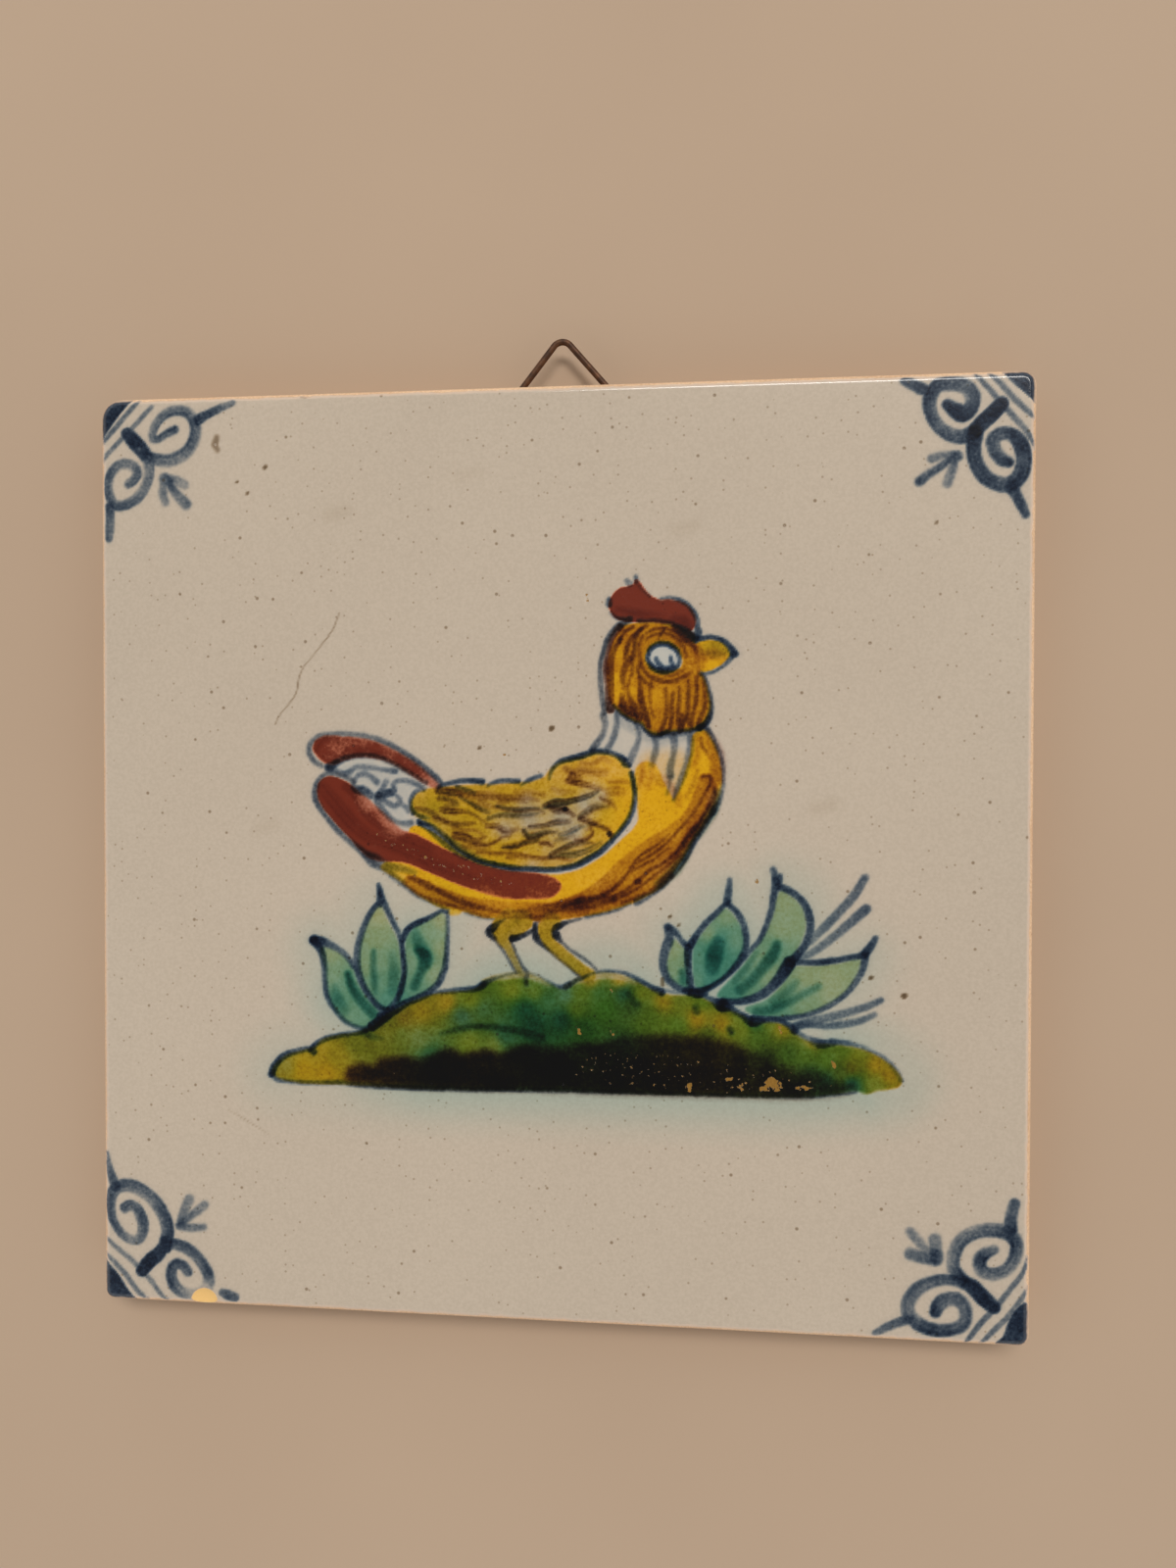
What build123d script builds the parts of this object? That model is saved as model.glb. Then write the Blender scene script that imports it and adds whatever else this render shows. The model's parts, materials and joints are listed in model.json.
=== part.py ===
"""A square tin-glazed wall tile with a bent wire for hanging it.

The tile is one fired piece: a slab of pale clay whose glazed face rolls over
its front edges, cut a little undersize towards the back. The wire is a shallow
gable whose two legs are pushed into blind holes pierced in the top edge. The
legs spread inside the clay, so the wire can't be drawn straight out.

The tile lies on its back with the glaze up. The origin is the centre of the
back face, +Z points out of the glaze, and +Y points to the hanging wire.
Lengths are in millimetres and angles in degrees.
"""

from build123d import *
import os
from math import cos, radians, sin, tan

# The tile: the usual Dutch size, measured across the glazed face.
tile_width = 130.0
tile_height = 130.0
tile_thickness = 7.5
undercut_angle = 2.0  # the sides lean in towards the back

# Each corner is worn or trimmed a little differently.
corner_radius_top_left = 3.0
corner_radius_top_right = 1.9
corner_radius_bottom_left = 1.5
corner_radius_bottom_right = 1.1

glaze_roll_radius = 1.1  # the glaze rolls over the front edges
back_edge_chamfer = 0.5  # the knife edge is rubbed off the back

# A flake of glaze is missing from the bottom edge, near the left corner.
flake_from_left = 15.3
flake_width = 4.2
flake_depth = 0.55
flake_inset = 0.5  # how far inside the bottom edge the flake is centred

# The hanging wire, seen square on to the glaze.
wire_diameter = 0.9
wire_bend_radius = 1.5  # at the wire's centreline
wire_left_lean = 38.0  # from upright
wire_right_lean = 41.0
wire_peak_above_edge = 8.2  # where the two leg lines would cross
wire_peak_right_of_centre = 1.2
wire_above_back = 2.75  # nearer the back than the glaze
nail_room_above_edge = 4.7  # up to here the room under the bend is over 4 mm wide

# The pierced holes take the legs with a little room.
hole_clearance = 0.08
hole_depth_along_leg = 9.0  # below the top edge
hole_bottom_clearance = 0.2

half_width = tile_width / 2
half_height = tile_height / 2
wire_radius = wire_diameter / 2
hole_radius = wire_radius + hole_clearance

# The wire lies in a plane parallel to the back, and its legs meet at the peak.
peak = Vector(wire_peak_right_of_centre, half_height + wire_peak_above_edge, wire_above_back)
legs = ((-1, wire_left_lean), (1, wire_right_lean))  # -1 is the left side, 1 the right


def leg_direction(side, lean):
    """The unit vector from the peak down a leg."""
    return Vector(side * sin(radians(lean)), -cos(radians(lean)), 0)


def hole_end_distance(lean):
    """How far down a leg's line the bottom of its hole lies."""
    return wire_peak_above_edge / cos(radians(lean)) + hole_depth_along_leg


with BuildPart() as tile:
    # The outline is drawn at the glazed face, its widest place.
    with BuildSketch(Plane.XY.offset(tile_thickness)) as face_outline:
        Rectangle(tile_width, tile_height)
        left = face_outline.vertices().group_by(Axis.X)[0].sort_by(Axis.Y)
        right = face_outline.vertices().group_by(Axis.X)[-1].sort_by(Axis.Y)
        fillet(left[0], corner_radius_bottom_left)
        fillet(left[-1], corner_radius_top_left)
        fillet(right[0], corner_radius_bottom_right)
        fillet(right[-1], corner_radius_top_right)
    extrude(amount=-tile_thickness, taper=undercut_angle)

    glazed_face = tile.faces().sort_by(Axis.Z)[-1]
    fillet(glazed_face.edges(), glaze_roll_radius)
    back_face = tile.faces().sort_by(Axis.Z)[0]
    chamfer(back_face.edges(), back_edge_chamfer)

    # The flake left a shallow dish where a ball would have scooped it out.
    scoop_radius = ((flake_width / 2) ** 2 + flake_depth**2) / (2 * flake_depth)
    scoop_centre = (
        flake_from_left - half_width,
        flake_inset - half_height,
        tile_thickness + scoop_radius - flake_depth,
    )
    with Locations(scoop_centre):
        Sphere(scoop_radius, mode=Mode.SUBTRACT)

    # Each hole follows its leg's line down into the top edge.
    for side, lean in legs:
        with Locations(Plane(peak, z_dir=-leg_direction(side, lean))):
            Hole(hole_radius, depth=hole_end_distance(lean))
tile.part.label = "tile"

with BuildPart() as hanging_wire:
    with BuildLine() as wire_line:
        left_end, right_end = (
            peak + leg_direction(side, lean) * (hole_end_distance(lean) - hole_bottom_clearance)
            for side, lean in legs
        )
        FilletPolyline(left_end, peak, right_end, radius=wire_bend_radius)
    with BuildSketch(Plane(wire_line.line @ 0, z_dir=wire_line.line % 0)):
        Circle(wire_radius)
    sweep(path=wire_line.line)
hanging_wire.part.label = "hanging_wire"

os.makedirs("parts", exist_ok=True)
for piece in (tile.part, hanging_wire.part):
    export_step(piece, f"parts/{piece.label}.step")
    box = piece.bounding_box()
    print(piece.label, round(piece.volume, 1), "mm3", box.min, box.max)

# The room under the bend for a nail narrows upwards, so its sides are told at its top.
drop_below_peak = wire_peak_above_edge - nail_room_above_edge
for side, lean in legs:
    inner_side = drop_below_peak * tan(radians(lean)) - wire_radius / cos(radians(lean))
    print("side of the nail's room at its top:", round(peak.X + side * inner_side, 2))
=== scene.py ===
# %% [markdown]
# # A hand-painted wall tile
#
# The object is a square of fired clay, a hand's breadth wide, with an opaque
# white tin glaze on its face. The painter drew a hen, some leaves and four
# scrolled corners on the raw glaze, and the kiln melted paint and glaze
# together. So this lesson doesn't stick a picture on a box. It shapes one piece
# of clay, lets a brush lay pigment on its points, and lets the material work
# out what the pigments do to the light in the glaze.
#
# The frame gives the solids at their real size, in metres.

import json
from math import cos, log, radians, sin

import bmesh
import bpy
import numpy as np
from mathutils import Matrix, Vector, noise

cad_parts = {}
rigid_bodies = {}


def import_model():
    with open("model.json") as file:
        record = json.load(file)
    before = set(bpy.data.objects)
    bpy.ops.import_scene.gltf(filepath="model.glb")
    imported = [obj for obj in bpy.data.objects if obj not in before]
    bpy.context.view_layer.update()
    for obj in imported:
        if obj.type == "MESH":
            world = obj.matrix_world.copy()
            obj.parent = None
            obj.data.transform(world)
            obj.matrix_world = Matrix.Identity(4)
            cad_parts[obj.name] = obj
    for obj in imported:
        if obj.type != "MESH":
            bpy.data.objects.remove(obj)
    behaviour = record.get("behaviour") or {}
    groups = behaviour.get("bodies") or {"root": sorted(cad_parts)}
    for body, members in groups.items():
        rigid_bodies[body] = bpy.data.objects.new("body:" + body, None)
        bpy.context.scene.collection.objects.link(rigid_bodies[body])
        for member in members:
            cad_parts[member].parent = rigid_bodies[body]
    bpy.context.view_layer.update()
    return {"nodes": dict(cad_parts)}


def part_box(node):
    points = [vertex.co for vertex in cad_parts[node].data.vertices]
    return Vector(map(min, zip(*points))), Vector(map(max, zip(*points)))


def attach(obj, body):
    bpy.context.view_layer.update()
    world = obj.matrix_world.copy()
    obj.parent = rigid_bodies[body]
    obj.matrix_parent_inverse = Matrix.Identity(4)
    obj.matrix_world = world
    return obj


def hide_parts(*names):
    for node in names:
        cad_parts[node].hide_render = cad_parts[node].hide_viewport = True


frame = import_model()
tile_low, tile_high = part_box("tile")

MM = 0.001
half_side = (tile_high.x - tile_low.x) / 2 / MM  # in millimetres, as the painting is
thickness = tile_high.z / MM
print(f"the tile is {2 * half_side:.1f} mm square and {thickness:.1f} mm thick")

# %% [markdown]
# ## The brush
#
# Where the brush touches the glaze it leaves a soft-edged mark, thicker where
# it pressed or paused. A picture of the marks would be the usual way, but it
# has a fixed number of pixels. Here each mark is a smooth line through a few
# points, with a width and a load of pigment, and a mark can be asked how much
# pigment it leaves at any point of the glaze. All places are millimetres from
# the middle of the tile.

# %% The brush
marks = []  # every touch of the brush, in the order of painting


def smooth_line(points, closed=False, steps=6):
    """A smooth curve through a few points."""
    p = np.array(points, float)
    if closed:
        p = np.vstack((p[-1:], p, p[:2]))
    else:
        p = np.vstack((2 * p[0] - p[1], p, 2 * p[-1] - p[-2]))
    t = np.linspace(0, 1, steps, endpoint=False)[:, None]
    spans = [
        b + ((c - a) * t + (2 * a - 5 * b + 4 * c - d) * t**2 + (3 * b - a - 3 * c + d) * t**3) / 2
        for a, b, c, d in zip(p, p[1:], p[2:], p[3:])
    ]
    return np.vstack(spans if closed else [*spans, p[-2:-1]])


def spaced(values, count):
    """One value, or a few spaced evenly, spread along a line of so many points."""
    values = np.atleast_1d(np.array(values, float))
    return np.interp(np.linspace(0, 1, count), np.linspace(0, 1, len(values)), values)


def stroke(pigment, points, width, load=1.0, soft=0.3, lean=0.0, hairs=0.0):
    """One pull of the brush. Widths and loads may change along it. Lean puts more pigment
    on its right, or on its left if negative, and hairs is how much the bristles show."""
    line = smooth_line(points)
    marks.append(dict(
        kind="stroke", pigment=pigment, line=line, half=spaced(width, len(line)) / 2,
        load=spaced(load, len(line)), soft=soft, lean=lean, hairs=hairs, number=len(marks),
    ))


def strokes(pigment, rows, wider=1.0, fuller=1.0, **manner):
    """Several pulls with one pigment, each given as its points, width and load."""
    for points, width, load in rows:
        stroke(pigment, points, np.array(width) * wider, np.array(load) * fuller, **manner)


def wash(pigment, outline, load=1.0, soft=0.4, pools=()):
    """An area filled with pigment. Pools are places (x, y, load) where it gathers or thins."""
    line = smooth_line(outline, closed=True)
    marks.append(dict(
        kind="wash", pigment=pigment, line=np.vstack((line, line[:1])), load=load, soft=soft,
        pools=np.array(pools, float).reshape(-1, 3), number=len(marks),
    ))


def nearest(mark, places):
    """How far outside a mark's edge each place is, how far along it, and to which side."""
    start, end = mark["line"][:-1], mark["line"][1:]
    run = end - start
    to = places[:, None] - start
    length = np.maximum((run**2).sum(1), 1e-12)
    t = np.clip((to * run).sum(2) / length, 0, 1)
    away = to - t[..., None] * run
    gap = np.sqrt((away**2).sum(2))
    row = np.arange(len(places))
    if mark["kind"] == "wash":
        best = gap.argmin(1)
        x, y = places[:, :1], places[:, 1:]
        rising = (start[:, 1] > y) != (end[:, 1] > y)
        slope = run[:, 0] / np.where(run[:, 1] == 0, 1e-12, run[:, 1])
        crossed = rising & (x < start[:, 0] + (y - start[:, 1]) * slope)
        inside = crossed.sum(1) % 2 == 1
        return np.where(inside, -1, 1) * gap[row, best], None, None
    half = mark["half"][:-1] + t * np.diff(mark["half"])
    best = (gap - half).argmin(1)
    side = (run[:, 0] * to[..., 1] - run[:, 1] * to[..., 0]) / np.sqrt(length)
    return (gap - half)[row, best], best + t[row, best], -side[row, best]


def close_to(mark, places, margin):
    """The numbers of the places in the box round a mark."""
    reach = margin + (mark["half"].max() if mark["kind"] == "stroke" else 0)
    low, high = mark["line"].min(0) - reach, mark["line"].max(0) + reach
    return np.flatnonzero(((places > low) & (places < high)).all(1))


def smooth_step(x):
    x = np.clip(x, 0, 1)
    return x * x * (3 - 2 * x)


def pooled(mark, places):
    """The load of a wash at each place: its own, or that of the pools round the place."""
    if not len(mark["pools"]):
        return np.full(len(places), float(mark["load"]))
    reach = ((places[:, None] - mark["pools"][:, :2]) ** 2).sum(2) + 0.3
    return (mark["pools"][:, 2] / reach**1.5).sum(1) / (1 / reach**1.5).sum(1)


def pigment_left(mark, places):
    """How much pigment a mark leaves at each place. Cobalt bleeds a little beyond its edge."""
    outside, along, side = nearest(mark, places)
    cover = smooth_step(0.5 - outside / mark["soft"])
    if mark["kind"] == "wash":
        return cover * pooled(mark, places)
    if mark["pigment"] == "cobalt":
        cover += 0.08 * smooth_step(0.5 - outside / 2.0)
    steps = np.arange(len(mark["line"]))
    load = np.interp(along, steps, mark["load"])
    half = np.interp(along, steps, mark["half"])
    load *= 1 + mark["lean"] * np.clip(side / half, -1, 1)
    phase = mark["number"] * 1.7
    hair = np.sin(side * 7.3 + phase) + np.sin(side * 12.1 + 2.3 * phase + 0.15 * along)
    return cover * load * np.clip(1 + mark["hairs"] * hair / 2, 0.1, 2)


print("the brush is ready")

# %% [markdown]
# ## The corner scrolls
#
# A Dutch tile was meant for a wall of its like, where four corners meet and
# make one round ornament. The painter worked from a pricked pattern, so the
# corners agree in plan but not in any single touch. One function holds what
# they share, and each corner brings its own touches, with the side of the
# stroke where the blue pooled.

# %% The corner scrolls
blue = "cobalt"


def corner(patch, lines, stem, scrolls, tails, dabs, full=1.0):
    """One corner: a dark patch, two thin lines, a stem, two scrolls, two tails, three dabs.
    Full is how full of blue the brush was."""
    wash(blue, patch, 2, soft=0.35)
    for points, load in lines:
        stroke(blue, points, (0.55, 0.75, 0.6), load, soft=0.35)
    for points, width, load, lean in scrolls:
        stroke(blue, points, np.array(width) * 1.12, np.array(load) * full, soft=0.5, lean=lean, hairs=0.15)
    strokes(blue, tails, fuller=full, soft=0.45, lean=0.1)
    strokes(blue, dabs, fuller=full, soft=0.6, lean=-0.2)
    stroke(blue, stem, (1.7, 2, 1.9, 1.4), (1.7, 1.9, 1.6, 1), soft=0.4)


corner(  # top left
    patch=[(-65.6, 63.2), (-64.2, 64.4), (-62.4, 65.2), (-59.8, 65.2), (-60.9, 63.8), (-62.4, 62.1),
           (-63.8, 60.3), (-65, 59), (-66, 60)],
    lines=[([(-65, 58.3), (-63.4, 59.9), (-61.4, 62), (-59, 64.6)], 0.75),
           ([(-65.2, 55.4), (-63.6, 57.2), (-61.9, 58.9), (-59.8, 60.9), (-57.2, 63.6)], 0.6)],
    stem=[(-60.8, 59.9), (-59.6, 58.6), (-58.4, 57.2), (-57.8, 56.2)],
    scrolls=[
        ([(-58, 56.4), (-56.4, 56), (-54.6, 55.9), (-52.6, 56.6), (-51.2, 58), (-50.6, 59.8),
          (-50.8, 61.4), (-51.9, 62.7), (-53.6, 63), (-55.4, 62.3), (-56.7, 60.8), (-57, 59.2),
          (-56.2, 58.9), (-55, 59.6), (-53.7, 60.2)],
         (1.5, 1.6, 1.6, 1.5, 1.3, 1.2, 1.1, 0.9, 1), (1.2, 0.95, 1, 1.1, 1.2, 0.9, 0.8, 1.2, 1.6), -0.45),
        ([(-57.8, 56.6), (-57.5, 54.8), (-57.9, 52.8), (-59.3, 50.8), (-61.2, 49.8), (-62.8, 49.9),
          (-63.6, 51.6), (-63.5, 53.6), (-62.6, 55.1), (-61.2, 55.6), (-59.8, 55.1), (-59.3, 54.2),
          (-59.9, 53.2), (-60.6, 52.8)],
         (1.4, 1.3, 1.3, 1.2, 1.1, 1.2, 1.2, 1.1, 1.1), (1, 0.8, 0.9, 1.2, 1.2, 1, 0.9, 1.2, 1), -0.35)],
    tails=[([(-50.3, 61.5), (-48.8, 62.3), (-46.9, 63.1), (-45.2, 63.8)], (1.5, 1.2, 1, 0.8), (1.9, 1.7, 1.2, 0.9)),
           ([(-63.5, 49.6), (-63.4, 48), (-63.5, 46.4), (-63.6, 45.1)], (1.2, 1.3, 1.3, 1.1), (1.4, 1, 0.9, 1))],
    dabs=[([(-55.2, 53.3), (-54.6, 52.9)], (1.6, 1.4), 1.1),
          ([(-54.4, 53.2), (-53.2, 52.9), (-52.3, 52.4)], (1.4, 1.3), (0.7, 0.4)),
          ([(-55.5, 52.4), (-55.5, 51.2), (-55.1, 50)], (0.9, 1.2, 1.1), (0.7, 0.8, 0.55)),
          ([(-54.4, 52.4), (-53.4, 51), (-52, 49.6)], (1, 1.3, 1.4), (1, 0.75, 0.85))], full=0.8)

corner(  # top right
    patch=[(60.3, 65.4), (63.6, 65.6), (65.6, 64.4), (65.8, 60.4), (64.7, 60.5), (63.6, 61.7),
           (62.2, 62.9), (61, 64.2)],
    lines=[([(58.8, 64.6), (60.4, 62.9), (62.4, 60.6), (65, 58.2)], 0.7),
           ([(56.9, 64.5), (58.8, 62.4), (60.4, 60.4), (62.4, 58.1), (63.9, 56.2), (65, 54.2)], 0.75)],
    stem=[(60.3, 60.5), (59, 59.1), (57.6, 57.8), (56.9, 56.6)],
    scrolls=[
        ([(57, 57), (55.4, 56.3), (53.8, 56.6), (52.2, 57.8), (51.2, 59.6), (51.1, 61.5), (52, 63),
          (53.8, 63.3), (55.6, 62.9), (56.6, 61.6), (56.3, 60), (55.3, 59.3), (54.3, 59.9), (53.4, 60.6)],
         (1.7, 1.6, 1.4, 1.5, 1.5, 1.7, 1.6, 1.9, 1.2), (1.9, 1.1, 1.2, 1.4, 1.5, 0.9, 1.1, 1.7, 1.5), -0.2),
        ([(57, 57), (56.8, 55), (57.1, 52.8), (58.4, 50.8), (60.4, 49.8), (62.2, 50.3), (63.1, 52),
          (63.1, 54.2), (62.1, 56), (60.6, 56.6), (59.3, 55.8), (59.6, 54.2), (60.5, 53.1), (61.2, 52.8)],
         (1.8, 1.6, 1.6, 1.7, 1.8, 1.7, 1.4, 1.5, 1.4, 1.2), (1.9, 1.6, 1.3, 1.2, 1.3, 1.7, 1.5, 1.1, 1.2, 1.7), 0.15)],
    tails=[([(50.8, 62.4), (49.8, 62.8), (48.7, 63.4), (47.7, 63.8)], (1.4, 1.5, 1.4, 1), (1.1, 1.4, 1.2, 1.1)),
           ([(61.6, 49.6), (62.3, 48.4), (63, 47), (63.5, 45.9)], (1.7, 1.3, 1.2, 1), (1.6, 1.3, 1.3, 1.2))],
    dabs=[([(54.3, 53.8), (54.7, 53.7)], (1.2, 1.3), 1.2),
          ([(54.2, 54), (52.8, 53.9), (51.4, 53.5)], (0.8, 1, 1.1), (0.8, 0.6, 0.6)),
          ([(53.6, 53.3), (52.2, 52.2), (50.9, 51.4), (49.8, 50.5)], (0.9, 0.9, 1, 1.1), (1.2, 1.1, 0.9, 1.2)),
          ([(54.3, 53.2), (53.9, 51.7), (53.4, 50.2)], (0.9, 1.2, 1.2), (0.9, 0.7, 0.5))])

corner(  # bottom left
    patch=[(-65.8, -58.6), (-64.8, -58.8), (-63.7, -60.1), (-62.4, -61.6), (-61.2, -63.4), (-60, -64.9),
           (-61.2, -65.8), (-64.2, -65.8), (-66, -64)],
    lines=[([(-65.2, -57.6), (-63.4, -59.2), (-61.4, -61.3), (-59.9, -63.2), (-58, -65)], 0.7),
           ([(-65.2, -55.3), (-62.9, -57.2), (-60.4, -59.2), (-58, -61.5), (-56.6, -63.2), (-55, -65)], 0.6)],
    stem=[(-59.1, -60.4), (-57.9, -59), (-56.5, -57.8), (-55.7, -56.4)],
    scrolls=[
        ([(-55.6, -56.8), (-55.2, -54.6), (-55.8, -52.2), (-57.2, -50.2), (-59.2, -48.7), (-61.4, -48.1),
          (-63.1, -48.8), (-63.8, -50.4), (-63.6, -52.6), (-62.5, -54.7), (-61, -55.9), (-59.6, -55.9),
          (-59, -54.8), (-59, -53.2), (-59.7, -51.6), (-60.8, -51), (-61.6, -51.4)],
         (1.7, 1.6, 1.6, 1.6, 1.6, 1.3, 1, 1.1, 1.3, 1.4, 1.3, 1.3),
         (1.6, 1.3, 0.9, 0.9, 1, 1.4, 1.2, 0.8, 0.8, 1.1, 0.9, 1.2), 0.3),
        ([(-55.6, -56), (-54, -56.4), (-52.2, -57), (-50.6, -58.2), (-49.6, -59.6), (-49.1, -60.8),
          (-49.2, -62), (-50.4, -63.2), (-52.4, -63.4), (-53.9, -62.6), (-54.6, -61.2), (-54.5, -59.8),
          (-53.7, -59.2), (-52.8, -59.5), (-52.2, -60.3)],
         (1.4, 1.4, 1.4, 1.5, 1.6, 1.4, 1.4, 1.3, 1.3, 1.2), (1.4, 1.1, 0.9, 1.2, 0.15, 0.3, 1.3, 1.3, 1.1, 0.9),
         -0.35)],
    tails=[([(-63, -48.4), (-63.6, -47), (-64.2, -45.2), (-64.5, -43.6)], (1.6, 1.3, 1.1, 0.9), (1.3, 1, 0.9, 0.8)),
           ([(-47, -63), (-46.2, -63.3), (-45.2, -63.6)], (1.1, 1.4, 1.3), (0.8, 1.1, 1))],
    dabs=[([(-53.4, -53.6), (-53, -53.4)], (1.1, 1.2), 1),
          ([(-53.2, -53), (-52.6, -51.4), (-51.9, -49.8)], (1.1, 1.3, 1.4), (0.9, 0.65, 0.5)),
          ([(-52.8, -53.1), (-51.2, -51.8), (-49.6, -50.5)], (0.9, 1.1, 1.2), (0.9, 0.7, 0.6)),
          ([(-53.2, -53.8), (-51.6, -53.9), (-49.8, -53.7)], (0.9, 1.1, 1), (1, 0.75, 0.6))], full=0.9)

corner(  # bottom right
    patch=[(64.4, -58.9), (65, -60), (65.6, -62.4), (65.4, -65), (64.4, -65.5), (61.6, -65.2), (60.5, -64.5),
           (61.5, -63.4), (62, -61.8), (62.6, -60.4), (63.4, -59.4)],
    lines=[([(65.2, -56), (63.7, -58.4), (61.8, -61), (59.8, -63.2), (58.2, -65)], 0.65),
           ([(64.6, -52.8), (63.9, -54.8), (62.2, -57.2), (60.4, -59.6), (58.4, -62), (57.2, -63.6), (56.4, -65)],
            0.75)],
    stem=[(60.2, -59.6), (58.9, -58.5), (57.4, -57), (55.8, -55.9)],
    scrolls=[
        ([(56, -56.2), (54.9, -54.6), (55, -52.6), (56, -50.7), (57.8, -49.6), (60, -49.2), (62, -49.6),
          (63.1, -51), (62.8, -53), (61.6, -54.6), (60, -55.2), (58.6, -54.7), (58.3, -53.4), (59, -52.4),
          (60.2, -51.8)],
         (1.6, 1.5, 1.6, 1.6, 1.7, 1.5, 1.4, 1.5, 1.5, 1.5, 1), (1.5, 0.9, 0.9, 1, 1.3, 1.5, 1, 1.1, 1.2, 1.9, 0.9),
         0.45),
        ([(56.4, -56.6), (54.6, -56.2), (52.4, -56.5), (50.4, -57.6), (49.2, -59.2), (49, -60.9), (50.2, -62.2),
          (52.2, -63), (54.4, -63), (56.2, -62), (56.5, -60.2), (55.6, -58.9), (54, -58.9), (53, -59.7),
          (52.6, -60.6)],
         (1.5, 1.2, 1.6, 1.6, 1.6, 1.5, 1.5, 1.5, 1.6, 1.7, 1.3), (1.5, 1.2, 1, 0.8, 1, 1.8, 1.2, 0.9, 1.1, 1, 2),
         0.3)],
    tails=[([(62.3, -49.2), (62.3, -47.6), (62.7, -45.6)], (1.5, 1.5, 1.4), (1.7, 1.1, 1.2)),
           ([(49.2, -61.7), (47.4, -62.5), (45.9, -63.2), (44.7, -63.9)], (1.3, 1.2, 1, 0.8), (1.3, 1, 0.9, 0.8))],
    dabs=[([(52.6, -53.6), (52.7, -52.9)], (1.7, 1.7), 1.3),
          ([(52.6, -52.8), (52.6, -51.6), (52.5, -50.8)], (1.6, 1.6, 1.6), (1, 0.8, 0.8)),
          ([(52.4, -53.5), (50.9, -53.3), (49.3, -52.9)], (1.4, 1.6, 1.6), (1.2, 0.9, 0.9)),
          ([(51.6, -52.4), (50.4, -51.2), (49.2, -49.9)], (1, 1.2, 1.1), (0.6, 0.6, 0.6))], full=0.8)
print("touches of the brush in the corners:", len(marks))

# %% [markdown]
# ## The mound
#
# The ground is a low mound. Yellow was brushed on first, copper green over it,
# and a manganese so thick that it fired almost black along the foot. Each of
# them is a wash with pools, the few places where the pigment gathers or thins,
# and between them the load changes as softly as a wet brush leaves it.

# %% The mound
yellow, ochre, copper, manganese, red, white = "yellow", "ochre", "copper", "manganese", "red", "white"

mound_edge = [
    (-39.3, -31.4), (-38.9, -29.9), (-37.2, -28.5), (-35, -27.9), (-33.4, -27.4), (-32.2, -26.3), (-30, -25.6),
    (-27, -25.1), (-24.8, -24.2), (-22.8, -22.5), (-20.6, -21.3), (-17.8, -20), (-14.6, -19.2), (-10.8, -18.8),
    (-9.2, -18), (-7.2, -17), (-4.8, -16.6), (-2.4, -16.7), (-0.2, -17.3), (2, -18.3), (4, -17),
    (6.2, -16.2), (9, -16), (11.8, -16.8), (14.4, -18.2), (17, -18.8), (20.2, -18.8), (22.6, -19.8),
    (24.6, -20.6), (26.6, -21.4), (28.2, -22.3), (30.6, -22.2), (32.6, -22.8), (34.2, -24), (36.6, -25),
    (38.4, -25), (41, -25.3), (43.8, -26), (46.2, -27.4), (47.8, -29.2), (47.4, -30.4), (45, -30.9),
    (43.4, -31.4), (41.6, -31.1), (38, -31.8), (32, -32.2), (20, -32.3), (8, -32.3), (-4, -32.4),
    (-16, -32.6), (-28, -32.4), (-36, -32.3)]
mound_foot = [
    (-28.5, -31.4), (-28.2, -30.3), (-26.6, -29.7), (-24.8, -29.8), (-23.8, -29), (-22.4, -28.8), (-20.4, -28.5),
    (-18.6, -28.8), (-16.2, -28.3), (-14.8, -27.5), (-13.4, -27.4), (-12, -28.2), (-10, -27.6), (-8.2, -27.4),
    (-6.6, -27.8), (-4.6, -26.9), (-2, -26.4), (1.4, -26.6), (4.4, -26), (7.4, -25.8), (10.6, -25),
    (14.6, -24.6), (18.4, -24.5), (22.2, -24.9), (26, -25.4), (28.8, -27), (32.4, -28.2), (36, -29),
    (38.6, -30.2), (41.6, -30.4), (40.4, -31.4), (34, -32.1), (20, -32.2), (0, -32.2), (-16, -32.4),
    (-25, -32.2), (-28, -32)]

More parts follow.
